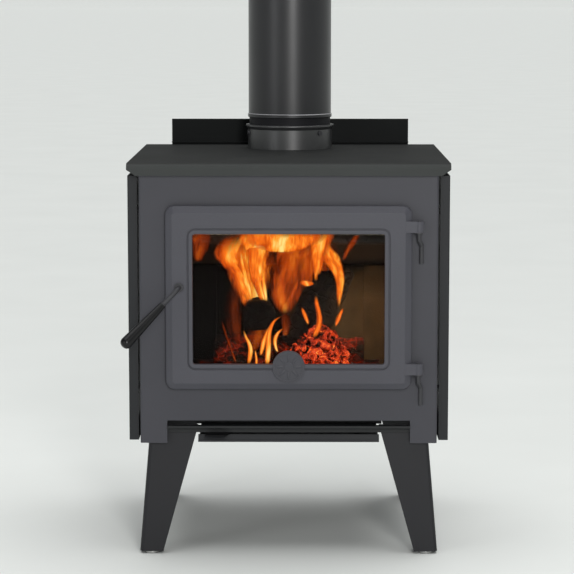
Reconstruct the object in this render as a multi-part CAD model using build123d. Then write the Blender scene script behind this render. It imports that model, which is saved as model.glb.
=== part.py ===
"""A free-standing steel wood stove on four splayed legs, with a starter length of double-wall flue.

Frame: +X to the stove's right as a person faces the door, +Z up, the door faces -Y.
The floor is z = 0 and the origin is under the middle of the whole outline.
Depths are counted back from the front face of the top's apron, and FRONT turns them into Y.
"""
from build123d import *
from math import cos, radians, sin
import os

os.makedirs("parts", exist_ok=True)

# ---- overall sizes, in millimetres ----
TOP_WIDTH = 608.0
TOP_DEPTH = 560.0
STOVE_HEIGHT = 750.0
LEG_HEIGHT = 264.0

# ---- stock and fits ----
PLATE = 6.0
WALL = 5.0
SHEET = 2.0
SLIDE_GAP = 0.5
SCREW_GAP = 0.05
PIN_GAP = 0.05
BRICK_GAP = 1.0

# ---- top plate with its folded apron ----
APRON_HEIGHT = 23.0
APRON_BEND = 9.0
APRON_CUT_WIDTH = 17.0
APRON_CUT_HEIGHT = 11.0
TOP_AIR_GAP = 23.0
TOP_SPACER_RADIUS = 12.0
TOP_SPACER_INSET = 90.0

# ---- front plate ----
FRONT_SETBACK = 12.0
FRONT_SIDE_SETBACK = 22.0
FRONT_EDGE_ROUND = 4.0
SKIRT_DROP = 47.5
NOTCH_SIDE = 51.0
NOTCH_DROP = 4.0

# ---- firebox and shields ----
SHIELD_GAP = 40.0
SHIELD_SETBACK = 25.0
SHIELD_LIP = 18.0
SHIELD_TOP_GAP = 25.0
SHIELD_BOTTOM_DROP = 44.0
SHIELD_BACK_SETBACK = 15.0
FIREBOX_BACK_SETBACK = 36.0
REAR_SHIELD_WIDTH = 500.0
REAR_SHIELD_RISE = 53.5
REAR_SHIELD_GAP = 5.0
REAR_SHIELD_BOTTOM = 270.0
REAR_LIP = 16.0
REAR_LEDGE_RISE = 4.0
REAR_LEDGE = 13.0
SPACER_RADIUS = 7.0
SCREW_RADIUS = 3.0
SCREW_HEAD_RADIUS = 6.0
SCREW_HEAD = 3.0
SHIELD_SCREW_INSET = 70.0

# ---- firebrick, baffle and air ways ----
BRICK = 32.0
BRICK_WIDTH = 114.0
BRICK_SETBACK = 50.0
BRICK_TOP_GAP = 84.0
RAIL_HEIGHT = 55.0
RAIL = 4.0
BAFFLE_DROP = 98.0
BAFFLE = 12.0
BLANKET = 12.0
BAFFLE_FRONT = 90.0
BAFFLE_BACK_GAP = 20.0
TUBE_RADIUS = 11.0
TUBE_WALL = 2.0
TUBE_PITCH = 100.0
TUBE_COUNT = 3
TUBE_FIRST = 130.0
JET_RADIUS = 2.5
JET_PITCH = 38.0
RISER_WIDTH = 20.0
RISER_DEPTH = 30.0
DEFLECTOR_DEPTH = 50.0
DEFLECTOR_LIP = 30.0
DEFLECTOR_RISE = 8.0
AIR_BOX_LEG_GAP = 6.0
AIR_BOX_FRONT = 60.0
AIR_BOX_DEPTH = 60.0
AIR_BOX_HEIGHT = 28.0

# ---- door ----
DOOR_SIDE_MARGIN = 50.0
DOOR_TOP_MARGIN = 73.0
DOOR_BOTTOM_MARGIN = 62.0
DOOR_THICK = 18.0
DOOR_GAP = 4.0
DOOR_CORNER = 18.0
DOOR_BEVEL_WIDTH = 13.0
DOOR_BEVEL_DEPTH = 9.0
DOOR_RIM_RADIUS = 5.0
OPENING_INSET = 17.0
ROPE_INSET = 5.5
ROPE_WIDTH = 10.0
ROPE_SEAT = 6.0
ROPE_GAP = 0.3
WINDOW_SIDE = 51.5
WINDOW_TOP = 52.5
WINDOW_BOTTOM = 49.5
WINDOW_CORNER = 5.0
BEAD_WIDTH = 7.5
BEAD_RISE = 1.6
GROOVE_WIDTH = 3.5
GROOVE_DEPTH = 3.0
GLASS = 5.0
GLASS_LAP = 12.0
TAPE = 1.0
TAPE_BACK = 2.0
TAPE_EDGE = 1.5
TAPE_LAP = 8.0
RETAINER_LAP = 10.0
BADGE_RADIUS = 30.5
BADGE_THICK = 4.0
BADGE_DROP = 4.0

# ---- hinges ----
LUG_HEIGHT = 21.0
LUG_INSET = 29.0
LUG_RADIUS = 9.0
HINGE_OFFSET = 13.0
HINGE_DEPTH = 8.0
PIN_RADIUS = 4.0
PIN_DROP = 15.0
PIN_JOG = 11.0
PIN_JOG_SIDE = 5.0
PIN_TAIL = 34.0
WASHER = 1.5
WASHER_RADIUS = 8.0

# ---- handle and latch ----
HANDLE_INSET = 26.0
HANDLE_RISE = 21.0
ROD_RADIUS = 4.5
ROD_BEND = 11.0
HANDLE_STANDOFF = 16.0
HANDLE_ANGLE = 45.0
HANDLE_TILT = 23.0
HANDLE_NECK = 44.0
GRIP_LENGTH = 110.0
GRIP_WALL = 2.0
GRIP_END_RADIUS = 12.0
GRIP_FLAT = 1.5
GRIP_START_ROUND = 1.2
BUSH_WALL = 2.5
BUSH_FLANGE_RADIUS = 9.0
BUSH_FLANGE = 2.5
CAM = 5.0
CAM_CLEARANCE = 2.0
CAM_LOBE_SHARE = 1.1
NUT_HEIGHT = 6.0
NUT_RADIUS = 7.5
CATCH_WIDTH = 20.0
CATCH_HEIGHT = 36.0
CATCH_DEPTH = 9.0

# ---- flue ----
FLUE_BORE_RADIUS = 76.2
LINER = 0.8
FLUE_AIR_GAP = 7.2
PIPE_SKIN = 0.8
PIPE_LENGTH = 305.0
FLUE_BACK_GAP = 14.5
COLLAR_WALL = 6.5
COLLAR_RIM = 4.0
COLLAR_RIM_HEIGHT = 3.5
COLLAR_HEIGHT = 49.0
NECK_HEIGHT = 15.0
BEAD_HEIGHT = 8.0
PIPE_BEAD = 1.4
ADAPTER_REACH = 20.0
SPACER_RING = 3.0

# ---- ash lip, bottom shield, legs, feet ----
LIP = 3.0
LIP_GAP = 0.5
LIP_TOP_DROP = 14.0
LIP_REACH = 9.0
LIP_NOSE = 10.5
LIP_NOSE_HEIGHT = 5.5
LIP_WEB_LEG_GAP = 1.0
LIP_EAR = 10.0
LIP_RIB_GAP = 1.5
PAN_LEG_GAP = 4.0
PAN_FRONT = 8.0
PAN_LEAN = 6.0
PAN_DROP = 44.0
PAN_BACK_SETBACK = 60.0
HEM_RADIUS = 2.4
LEG = 5.0
LEG_LIP_GAP = 3.5
LEG_SETBACK_FOOT = 14.0
LEG_BEND = 8.0
LEG_OVERHANG = 1.0
LEG_TOP_WIDTH = 95.0
LEG_FOOT_WIDTH = 45.0
LEG_SPLAY = 22.0
LEG_TOP_DEPTH = 70.0
LEG_FOOT_DEPTH = 36.0
LEG_PAD = 6.0
BOLT_RADIUS = 4.0
BOLT_HEAD_RADIUS = 7.5
BOLT_HEAD = 5.0
GLIDE_RADIUS = 13.0
GLIDE_HEIGHT = 5.0

# ---- air control slide ----
TAB = 2.0
TAB_LENGTH = 70.0
TAB_FRONT = 8.0
TAB_WIDTH = 40.0
TAB_SKEW = 31.0
TAB_LEG_GAP = 7.0
AIR_TRAVEL = 70.0
GATE_WIDTH = 120.0
GATE_DEPTH = 56.0
AIR_SLOT_WIDTH = 60.0
AIR_SLOT_DEPTH = 20.0
GUIDE = 3.0
GUIDE_DEPTH = 10.0

# ---- levels and depths worked out from the sizes above ----
HANDLE_REACH = HANDLE_STANDOFF + ROD_BEND + (HANDLE_NECK + GRIP_LENGTH) * sin(radians(HANDLE_TILT))
OUTLINE_BACK = TOP_DEPTH + REAR_SHIELD_GAP + SHEET
FRONT = HANDLE_REACH - (HANDLE_REACH + OUTLINE_BACK) / 2

TOP_UNDERSIDE = STOVE_HEIGHT - PLATE
BOX_TOP = TOP_UNDERSIDE - TOP_AIR_GAP
BOX_BOTTOM = LEG_HEIGHT
BOX_HALF = TOP_WIDTH / 2 - SHEET - SHIELD_GAP
BOX_BACK = TOP_DEPTH - FIREBOX_BACK_SETBACK
INNER_HALF = BOX_HALF - WALL
INNER_FLOOR = BOX_BOTTOM + WALL
INNER_TOP = BOX_TOP - WALL
INNER_BACK = BOX_BACK - WALL
FRONT_BACK = FRONT_SETBACK + PLATE
FRONT_HALF = TOP_WIDTH / 2 - FRONT_SIDE_SETBACK
SKIRT_BOTTOM = BOX_BOTTOM - SKIRT_DROP
NOTCH_TOP = BOX_BOTTOM - NOTCH_DROP
NOTCH_HALF = FRONT_HALF - NOTCH_SIDE

DOOR_HALF = FRONT_HALF - DOOR_SIDE_MARGIN
DOOR_BOTTOM = NOTCH_TOP + DOOR_BOTTOM_MARGIN
DOOR_TOP = TOP_UNDERSIDE - DOOR_TOP_MARGIN
DOOR_HEIGHT = DOOR_TOP - DOOR_BOTTOM
DOOR_MIDDLE = (DOOR_TOP + DOOR_BOTTOM) / 2
DOOR_BACK = FRONT_SETBACK - DOOR_GAP
DOOR_FACE = DOOR_BACK - DOOR_THICK
WINDOW_HALF = DOOR_HALF - WINDOW_SIDE
WINDOW_HEIGHT = DOOR_HEIGHT - WINDOW_TOP - WINDOW_BOTTOM
WINDOW_MIDDLE = DOOR_BOTTOM + WINDOW_BOTTOM + WINDOW_HEIGHT / 2
REBATE_LAP = GLASS_LAP + TAPE_EDGE
REBATE_DEPTH = TAPE + GLASS + TAPE_BACK
HINGE_X = DOOR_HALF + HINGE_OFFSET
HINGE_AT = DOOR_FACE + HINGE_DEPTH
HANDLE_X = -DOOR_HALF + HANDLE_INSET
HANDLE_Z = DOOR_MIDDLE + HANDLE_RISE

BAFFLE_BOTTOM = INNER_TOP - BAFFLE_DROP - BAFFLE
TUBE_Z = BAFFLE_BOTTOM - TUBE_RADIUS
BRICK_TOP = TUBE_Z - TUBE_RADIUS - BRICK_TOP_GAP
BRICK_BACK = INNER_BACK - BRICK
BRICK_HALF = INNER_HALF - BRICK
AIR_BOX_BOTTOM = BOX_BOTTOM - AIR_BOX_HEIGHT

LINER_RADIUS = FLUE_BORE_RADIUS + LINER
SKIN_INNER = LINER_RADIUS + FLUE_AIR_GAP
PIPE_RADIUS = SKIN_INNER + PIPE_SKIN
COLLAR_INNER = LINER_RADIUS + SPACER_RING
COLLAR_OUTER = COLLAR_INNER + COLLAR_WALL
RIM_RADIUS = COLLAR_OUTER + COLLAR_RIM
FLUE_AT = TOP_DEPTH - FLUE_BACK_GAP - RIM_RADIUS
COLLAR_TOP = STOVE_HEIGHT + COLLAR_HEIGHT
NECK_TOP = COLLAR_TOP + NECK_HEIGHT
PIPE_TOP = STOVE_HEIGHT + PIPE_LENGTH
LINER_BOTTOM = COLLAR_TOP - ADAPTER_REACH

SHIELD_TOP = STOVE_HEIGHT - SHIELD_TOP_GAP
SHIELD_BOTTOM = BOX_BOTTOM - SHIELD_BOTTOM_DROP
SHIELD_BACK = TOP_DEPTH - SHIELD_BACK_SETBACK
REAR_SHIELD_TOP = STOVE_HEIGHT + REAR_SHIELD_RISE

BUSH_RADIUS = ROD_RADIUS + BUSH_WALL
CAM_BACK_RADIUS = CAM_LOBE_SHARE * (HANDLE_INSET - OPENING_INSET)
GRIP_START_RADIUS = ROD_RADIUS + GRIP_WALL

LIP_SETBACK = FRONT_BACK + LIP_GAP
LEG_SETBACK_TOP = LIP_SETBACK + LIP + LEG_LIP_GAP
LEG_TOP_OUTER = BOX_HALF + LEG_OVERHANG
LEG_TOP_INNER = LEG_TOP_OUTER - LEG_TOP_WIDTH
LEG_MIDDLE = (FRONT_BACK + BOX_BACK) / 2
AIR_BOX_HALF = LEG_TOP_INNER - AIR_BOX_LEG_GAP
LIP_WEB_HALF = LEG_TOP_INNER - LIP_WEB_LEG_GAP
PAN_HALF_WIDTH = LEG_TOP_INNER + PAN_LEG_GAP
TAB_START = LEG_TOP_INNER - TAB_LEG_GAP
TAB_TOP = AIR_BOX_BOTTOM - SLIDE_GAP
TAB_BOTTOM = TAB_TOP - TAB
LIP_TOP = BOX_BOTTOM - LIP_TOP_DROP
LIP_BOTTOM = TAB_TOP + SLIDE_GAP
PAN_BOTTOM = BOX_BOTTOM - PAN_DROP
PAN_TOP = TAB_BOTTOM - SLIDE_GAP


# ---- helpers ----
def block(x, depth, z):
    """A box between two values of x, of depth behind the apron, and of height."""
    centre = Pos((x[0] + x[1]) / 2, FRONT + (depth[0] + depth[1]) / 2, (z[0] + z[1]) / 2)
    return centre * Box(x[1] - x[0], depth[1] - depth[0], z[1] - z[0])


def slab(outline, depth):
    """An X-Z outline, given a thickness between two depths."""
    plane = Plane.XZ.offset(-(FRONT + depth[1]))
    return extrude(plane * outline, depth[1] - depth[0])


def bar(outline, half_width):
    """A depth-height outline, drawn out to both sides of the middle."""
    return extrude(Plane.YZ * (Pos(FRONT, 0) * outline), half_width, both=True)


def frame_outline(half_width, height, middle, corner):
    """A rounded rectangle in X-Z, centred on the door's width."""
    return Pos(0, middle) * RectangleRounded(2 * half_width, height, corner)


def rod_across(x, depth, z, radius):
    """A round bar along X."""
    place = Pos((x[0] + x[1]) / 2, FRONT + depth, z)
    return place * Cylinder(radius, x[1] - x[0], rotation=(0, 90, 0))


def rod_back(x, depth, z, radius):
    """A round bar along Y, between two depths."""
    place = Pos(x, FRONT + (depth[0] + depth[1]) / 2, z)
    return place * Cylinder(radius, depth[1] - depth[0], rotation=(90, 0, 0))


def rod_up(x, depth, z, radius):
    """A round bar along Z."""
    place = Pos(x, FRONT + depth, (z[0] + z[1]) / 2)
    return place * Cylinder(radius, z[1] - z[0])


def bent_rod(points, bend, radius):
    """A round rod along straight runs joined by arcs."""
    path = FilletPolyline(*points, radius=bend)
    return sweep(Plane(origin=path @ 0, z_dir=path % 0) * Circle(radius), path=path)


def turned(points):
    """A ring or shell turned about the flue's own axis, from radius-height points."""
    outline = make_face(Polyline(*points, close=True))
    return Pos(0, FRONT + FLUE_AT, 0) * revolve(Plane.XZ * outline, Axis.Z)


def spread(low, high, count):
    """Even positions from low to high."""
    step = (high - low) / (count - 1)
    return [low + step * i for i in range(count)]


def save(node, *solids):
    """Write one named node, as one solid or a group of separate solids."""
    shape = solids[0] if len(solids) == 1 else Compound(list(solids))
    export_step(shape, f"parts/{node}.step")


# ---- top plate ----
def top_plate():
    rim = Rectangle(TOP_DEPTH, PLATE, align=(Align.MIN, Align.MAX))
    apron = Rectangle(PLATE, APRON_HEIGHT, align=(Align.MIN, Align.MAX))
    outline = Pos(0, STOVE_HEIGHT) * (rim + apron)
    outer = outline.vertices().sort_by_distance((0, STOVE_HEIGHT))[0]
    outline = fillet(outer, APRON_BEND)
    inner = outline.vertices().sort_by_distance((PLATE, TOP_UNDERSIDE))[0]
    outline = fillet(inner, APRON_BEND - PLATE)
    plate = bar(outline, TOP_WIDTH / 2)
    apron_bottom = STOVE_HEIGHT - APRON_HEIGHT
    for side in (-1, 1):
        edge = side * TOP_WIDTH / 2
        corner = [
            (edge, apron_bottom),
            (edge, apron_bottom + APRON_CUT_HEIGHT),
            (edge - side * APRON_CUT_WIDTH, apron_bottom),
        ]
        plate -= slab(make_face(Polyline(*corner, close=True)), (0, PLATE))
    back_edges = plate.edges().filter_by(Axis.X).group_by(Axis.Y)[-1]
    plate = fillet(back_edges, 1.2)
    return plate - rod_up(0, FLUE_AT, (BOX_BOTTOM, PIPE_TOP), COLLAR_OUTER + SCREW_GAP)


def top_spacers():
    x = BOX_HALF - TOP_SPACER_INSET
    depths = (TOP_SPACER_INSET, BOX_BACK - TOP_SPACER_INSET / 2)
    return [
        rod_up(side * x, depth, (BOX_TOP, TOP_UNDERSIDE), TOP_SPACER_RADIUS)
        for side in (-1, 1)
        for depth in depths
    ]


# ---- front plate and firebox ----
def front_plate():
    height = TOP_UNDERSIDE - SKIRT_BOTTOM
    plate = block((-FRONT_HALF, FRONT_HALF), (FRONT_SETBACK, FRONT_BACK), (SKIRT_BOTTOM, TOP_UNDERSIDE))
    front_edges = plate.edges().filter_by(Axis.Z).group_by(Axis.Y)[0]
    plate = fillet(front_edges, FRONT_EDGE_ROUND)
    notch = block((-NOTCH_HALF, NOTCH_HALF), (0, 2 * FRONT_BACK), (SKIRT_BOTTOM - height, NOTCH_TOP))
    plate -= notch
    inset = 2 * OPENING_INSET
    opening = frame_outline(DOOR_HALF - OPENING_INSET, DOOR_HEIGHT - inset, DOOR_MIDDLE, DOOR_CORNER / 2)
    return plate - slab(opening, (0, 2 * FRONT_BACK))


def firebox_sides():
    depth = (FRONT_BACK, INNER_BACK)
    z = (INNER_FLOOR, INNER_TOP)
    left = block((-BOX_HALF, -INNER_HALF), depth, z)
    right = block((INNER_HALF, BOX_HALF), depth, z)
    for depth_at, z_at in shield_screw_places():
        left -= rod_across((-BOX_HALF, -INNER_HALF), depth_at, z_at, SCREW_RADIUS + SCREW_GAP)
        right -= rod_across((INNER_HALF, BOX_HALF), depth_at, z_at, SCREW_RADIUS + SCREW_GAP)
    return left, right


def firebox_back():
    back = block((-BOX_HALF, BOX_HALF), (INNER_BACK, BOX_BACK), (INNER_FLOOR, INNER_TOP))
    for x, z in rear_screw_places():
        back -= rod_back(x, (INNER_BACK, BOX_BACK), z, SCREW_RADIUS + SCREW_GAP)
    return back


def firebox_top():
    plate = block((-BOX_HALF, BOX_HALF), (FRONT_BACK, BOX_BACK), (INNER_TOP, BOX_TOP))
    return plate - rod_up(0, FLUE_AT, (INNER_TOP, BOX_TOP), COLLAR_INNER)


def firebox_floor():
    plate = block((-BOX_HALF, BOX_HALF), (FRONT_BACK, BOX_BACK), (BOX_BOTTOM, INNER_FLOOR))
    for x, depth in leg_bolt_places():
        plate -= rod_up(x, depth, (BOX_BOTTOM, INNER_FLOOR), BOLT_RADIUS + SCREW_GAP)
    for x, depth in pan_bolt_places():
        plate -= rod_up(x, depth, (BOX_BOTTOM, INNER_FLOOR), SCREW_RADIUS + SCREW_GAP)
    slot = (AIR_BOX_FRONT + SHEET + SLIDE_GAP, AIR_BOX_FRONT + AIR_SLOT_DEPTH)
    for side in (-1, 1):
        centre = side * (AIR_BOX_HALF - AIR_SLOT_WIDTH)
        x = (centre - AIR_SLOT_WIDTH / 2, centre + AIR_SLOT_WIDTH / 2)
        plate -= block(x, slot, (BOX_BOTTOM, INNER_FLOOR))
    return plate


# ---- heat shields, their spacers and screws ----
def shield_screw_places():
    """Depth and height of each screw in a side shield."""
    depths = (SHIELD_SETBACK + SHIELD_SCREW_INSET, SHIELD_BACK - SHIELD_SCREW_INSET)
    levels = (SHIELD_BOTTOM + SHIELD_LIP + SHIELD_SCREW_INSET, SHIELD_TOP - SHIELD_SCREW_INSET)
    return [(depth, level) for depth in depths for level in levels]


def rear_screw_places():
    """X and height of each screw in the rear shield."""
    x = REAR_SHIELD_WIDTH / 2 - SHIELD_SCREW_INSET
    levels = (REAR_SHIELD_BOTTOM + SHIELD_SCREW_INSET, BOX_TOP - SHIELD_SCREW_INSET)
    return [(side * x, level) for side in (-1, 1) for level in levels]


def side_shield(side):
    """A sheet folded inwards at its front, back and bottom edges."""
    outer = TOP_WIDTH / 2
    x = (outer - SHEET, outer)
    z = (SHIELD_BOTTOM, SHIELD_TOP)
    lip = (outer - SHIELD_LIP, outer)
    shield = block(x, (SHIELD_SETBACK, SHIELD_BACK), z)
    shield += block(lip, (SHIELD_SETBACK, SHIELD_SETBACK + SHEET), z)
    shield += block(lip, (SHIELD_BACK - SHEET, SHIELD_BACK), z)
    shield += block(lip, (SHIELD_SETBACK, SHIELD_BACK), (SHIELD_BOTTOM, SHIELD_BOTTOM + SHEET))
    corners = shield.edges().filter_by(Axis.Z).group_by(Axis.X)[-1]
    shield = fillet(corners, SHEET * 1.4)
    for depth, level in shield_screw_places():
        shield -= rod_across(x, depth, level, SCREW_RADIUS + SCREW_GAP)
    return shield if side > 0 else mirror(shield, Plane.YZ)


def rear_shield():
    """A sheet behind the firebox with folded sides and a ledge over the top's back edge."""
    half = REAR_SHIELD_WIDTH / 2
    face = (TOP_DEPTH + REAR_SHIELD_GAP, TOP_DEPTH + REAR_SHIELD_GAP + SHEET)
    z = (REAR_SHIELD_BOTTOM, REAR_SHIELD_TOP)
    shield = block((-half, half), face, z)
    lip_top = STOVE_HEIGHT - SHIELD_TOP_GAP
    for side in (-1, 1):
        x = sorted((side * half, side * (half - SHEET)))
        shield += block(x, (face[0] - REAR_LIP, face[1]), (REAR_SHIELD_BOTTOM, lip_top))
    ledge_z = STOVE_HEIGHT + REAR_LEDGE_RISE
    shield += block((-half, half), (face[0] - REAR_LEDGE, face[0]), (ledge_z, ledge_z + SHEET))
    for x_at, level in rear_screw_places():
        shield -= rod_back(x_at, face, level, SCREW_RADIUS + SCREW_GAP)
    return shield


def shield_spacers():
    outer = TOP_WIDTH / 2 - SHEET
    hole = SCREW_RADIUS + SCREW_GAP
    spacers = []
    for depth, level in shield_screw_places():
        for x in ((-outer, -BOX_HALF), (BOX_HALF, outer)):
            spacers.append(rod_across(x, depth, level, SPACER_RADIUS) - rod_across(x, depth, level, hole))
    reach = (BOX_BACK, TOP_DEPTH + REAR_SHIELD_GAP)
    for x_at, level in rear_screw_places():
        spacers.append(rod_back(x_at, reach, level, SPACER_RADIUS) - rod_back(x_at, reach, level, hole))
    return spacers


def shield_screws():
    """Pan-head screws through the shields and spacers into the firebox walls."""
    outer = TOP_WIDTH / 2
    screws = []
    for depth, level in shield_screw_places():
        for side in (-1, 1):
            shank = sorted((side * INNER_HALF, side * outer))
            head = sorted((side * outer, side * (outer + SCREW_HEAD)))
            screw = rod_across(head, depth, level, SCREW_HEAD_RADIUS)
            rim = screw.edges().filter_by(GeomType.CIRCLE).sort_by(Axis.X)[-1 if side > 0 else 0]
            screw = fillet(rim, SCREW_HEAD * 0.6)
            screws.append(screw + rod_across(shank, depth, level, SCREW_RADIUS))
    back = TOP_DEPTH + REAR_SHIELD_GAP + SHEET
    for x_at, level in rear_screw_places():
        screw = rod_back(x_at, (back, back + SCREW_HEAD), level, SCREW_HEAD_RADIUS)
        rim = screw.edges().filter_by(GeomType.CIRCLE).sort_by(Axis.Y)[-1]
        screw = fillet(rim, SCREW_HEAD * 0.6)
        screws.append(screw + rod_back(x_at, (INNER_BACK, back), level, SCREW_RADIUS))
    return screws


def pan_bolt_places():
    x = PAN_HALF_WIDTH - SHIELD_SCREW_INSET / 2
    depths = (AIR_BOX_FRONT + AIR_BOX_DEPTH + SHIELD_SCREW_INSET, BOX_BACK - 2 * SHIELD_SCREW_INSET)
    return [(side * x, depth) for side in (-1, 1) for depth in depths]


def bottom_shield():
    """A tray under the firebox whose front wall leans back and ends below in a rolled hem."""
    back = BOX_BACK - PAN_BACK_SETBACK
    outline = [
        (PAN_FRONT, PAN_BOTTOM),
        (back, PAN_BOTTOM),
        (back, PAN_TOP),
        (back - SHEET, PAN_TOP),
        (back - SHEET, PAN_BOTTOM + SHEET),
        (PAN_FRONT + SHEET + PAN_LEAN * SHEET / (PAN_TOP - PAN_BOTTOM), PAN_BOTTOM + SHEET),
        (PAN_FRONT + PAN_LEAN + SHEET, PAN_TOP),
        (PAN_FRONT + PAN_LEAN, PAN_TOP),
    ]
    pan = bar(make_face(Polyline(*outline, close=True)), PAN_HALF_WIDTH)
    x = (-PAN_HALF_WIDTH, PAN_HALF_WIDTH)
    pan += rod_across(x, PAN_FRONT + HEM_RADIUS, PAN_BOTTOM + HEM_RADIUS / 2, HEM_RADIUS)
    for x_at, depth in pan_bolt_places():
        pan -= rod_up(x_at, depth, (PAN_BOTTOM, PAN_BOTTOM + SHEET), SCREW_RADIUS + SCREW_GAP)
    return pan


def bottom_shield_bolts():
    bolts = []
    for x, depth in pan_bolt_places():
        shank = rod_up(x, depth, (PAN_BOTTOM, INNER_FLOOR), SCREW_RADIUS)
        head = rod_up(x, depth, (PAN_BOTTOM - SCREW_HEAD, PAN_BOTTOM), SCREW_HEAD_RADIUS)
        bolts.append(shank + head + rod_up(x, depth, (PAN_BOTTOM + SHEET, BOX_BOTTOM), SPACER_RADIUS))
    return bolts


def ash_lip():
    """A strip with a nose that stands out through the notch, and a web up to the firebox floor."""
    back = LIP_SETBACK + LIP
    half = NOTCH_HALF + LIP_REACH
    face = block((-half, half), (LIP_SETBACK, back), (LIP_BOTTOM, LIP_TOP))
    nose_x = (SLIDE_GAP - NOTCH_HALF, NOTCH_HALF - SLIDE_GAP)
    nose = block(nose_x, (LIP_SETBACK - LIP_NOSE, back), (LIP_TOP - LIP_NOSE_HEIGHT, LIP_TOP))
    nose_edges = nose.edges().filter_by(Axis.X).group_by(Axis.Y)[0]
    face += fillet(nose_edges, LIP_NOSE_HEIGHT * 0.3)
    web_x = (-LIP_WEB_HALF, LIP_WEB_HALF)
    face += block(web_x, (back, AIR_BOX_FRONT), (LIP_TOP - LIP, LIP_TOP))
    face += block(web_x, (AIR_BOX_FRONT - LIP, AIR_BOX_FRONT), (LIP_TOP - LIP, BOX_BOTTOM))
    rib_back = LEG_SETBACK_TOP + LEG_TOP_DEPTH / 2 - BOLT_HEAD_RADIUS - LIP_RIB_GAP
    rib_x = (-LEG_TOP_INNER - LIP_EAR, LEG_TOP_INNER + LIP_EAR)
    rib_height = (LIP_TOP - LIP, BOX_BOTTOM - LEG_PAD - LIP_RIB_GAP)
    return face + block(rib_x, (rib_back - LIP, rib_back), rib_height)


# ---- firebrick lining ----
def brick_row(low, high, count, make):
    """Equal bricks side by side, with a joint gap between neighbours."""
    width = (high - low - BRICK_GAP * (count - 1)) / count
    starts = [low + i * (width + BRICK_GAP) for i in range(count)]
    return [make((start, start + width)) for start in starts]


def wall_bricks(side):
    x = sorted((side * BRICK_HALF, side * INNER_HALF))
    count = round((BRICK_BACK - BRICK_SETBACK) / BRICK_WIDTH)
    depth = (BRICK_SETBACK, BRICK_BACK - BRICK_GAP)
    return brick_row(*depth, count, lambda run: block(x, run, (INNER_FLOOR, BRICK_TOP)))


def back_bricks():
    count = round(2 * INNER_HALF / BRICK_WIDTH)
    depth = (BRICK_BACK, INNER_BACK)
    return brick_row(-INNER_HALF, INNER_HALF, count, lambda run: block(run, depth, (INNER_FLOOR, BRICK_TOP)))


def floor_bricks():
    half = BRICK_HALF - BRICK_GAP
    count = round(2 * half / BRICK_WIDTH)
    rows = spread(BRICK_SETBACK + RAIL + BRICK_GAP, BRICK_BACK, 3)
    bricks = []
    for near, far in zip(rows, rows[1:]):
        depth = (near, far - BRICK_GAP)
        z = (INNER_FLOOR, INNER_FLOOR + BRICK)
        bricks += brick_row(-half, half, count, lambda run: block(run, depth, z))
    return bricks


def brick_rail():
    half = BRICK_HALF - BRICK_GAP
    z = (INNER_FLOOR, INNER_FLOOR + RAIL_HEIGHT)
    return block((-half, half), (BRICK_SETBACK, BRICK_SETBACK + RAIL), z)


def brick_clips():
    """Small angles on the steel walls that keep the standing bricks back."""
    z = (BRICK_TOP, BRICK_TOP + RAIL)
    clips = []
    for depth in spread(BRICK_SETBACK + BRICK_WIDTH / 2, BRICK_BACK - BRICK_WIDTH / 2, 3):
        for side in (-1, 1):
            x = sorted((side * INNER_HALF, side * (BRICK_HALF - RAIL)))
            drop = sorted((side * BRICK_HALF, side * (BRICK_HALF - RAIL)))
            run = (depth, depth + BRICK / 2)
            clips.append(block(x, run, z) + block(drop, run, (BRICK_TOP - BRICK / 2, BRICK_TOP + RAIL)))
    return clips


# ---- baffle and air ways ----
def baffle(thickness, bottom):
    x = (-INNER_HALF + BRICK_GAP, INNER_HALF - BRICK_GAP)
    return block(x, (BAFFLE_FRONT, INNER_BACK - BAFFLE_BACK_GAP), (bottom, bottom + thickness))


def baffle_rails():
    rails = []
    for side in (-1, 1):
        x = sorted((side * INNER_HALF, side * (INNER_HALF - BRICK / 2)))
        start = TUBE_FIRST + TUBE_PITCH * (TUBE_COUNT - 1) + 2 * TUBE_RADIUS
        depth = (start, INNER_BACK - BAFFLE_BACK_GAP)
        rails.append(block(x, depth, (BAFFLE_BOTTOM - WALL, BAFFLE_BOTTOM)))
    return rails


def air_tubes():
    """Perforated cross tubes that feed the flames from above."""
    jets = int((2 * BRICK_HALF) / JET_PITCH)
    tubes = []
    for i in range(TUBE_COUNT):
        depth = TUBE_FIRST + i * TUBE_PITCH
        x = (-INNER_HALF, INNER_HALF)
        tube = rod_across(x, depth, TUBE_Z, TUBE_RADIUS)
        tube -= rod_across(x, depth, TUBE_Z, TUBE_RADIUS - TUBE_WALL)
        for jet in spread(-BRICK_HALF + JET_PITCH, BRICK_HALF - JET_PITCH, jets):
            tube -= rod_back(jet, (depth - 2 * TUBE_RADIUS, depth), TUBE_Z, JET_RADIUS)
        tubes.append(tube)
    return tubes


def air_risers():
    """Box ducts in the front corners, open at both ends."""
    z = (INNER_FLOOR, DOOR_TOP - OPENING_INSET + DEFLECTOR_RISE)
    depth = (FRONT_BACK, FRONT_BACK + RISER_DEPTH)
    hollow = (FRONT_BACK + SHEET, FRONT_BACK + RISER_DEPTH - SHEET)
    risers = []
    for side in (-1, 1):
        x = sorted((side * INNER_HALF, side * (INNER_HALF - RISER_WIDTH)))
        duct = block(x, depth, z)
        risers.append(duct - block((x[0] + SHEET, x[1] - SHEET), hollow, z))
    return risers


def airwash_deflector():
    """A folded strip over the opening that turns air down the glass."""
    z = DOOR_TOP - OPENING_INSET + DEFLECTOR_RISE
    x = (-INNER_HALF, INNER_HALF)
    shelf = block(x, (FRONT_BACK, FRONT_BACK + DEFLECTOR_DEPTH), (z, z + SHEET))
    back = FRONT_BACK + DEFLECTOR_DEPTH
    return shelf + block(x, (back - SHEET, back), (z, z + DEFLECTOR_LIP))


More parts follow.
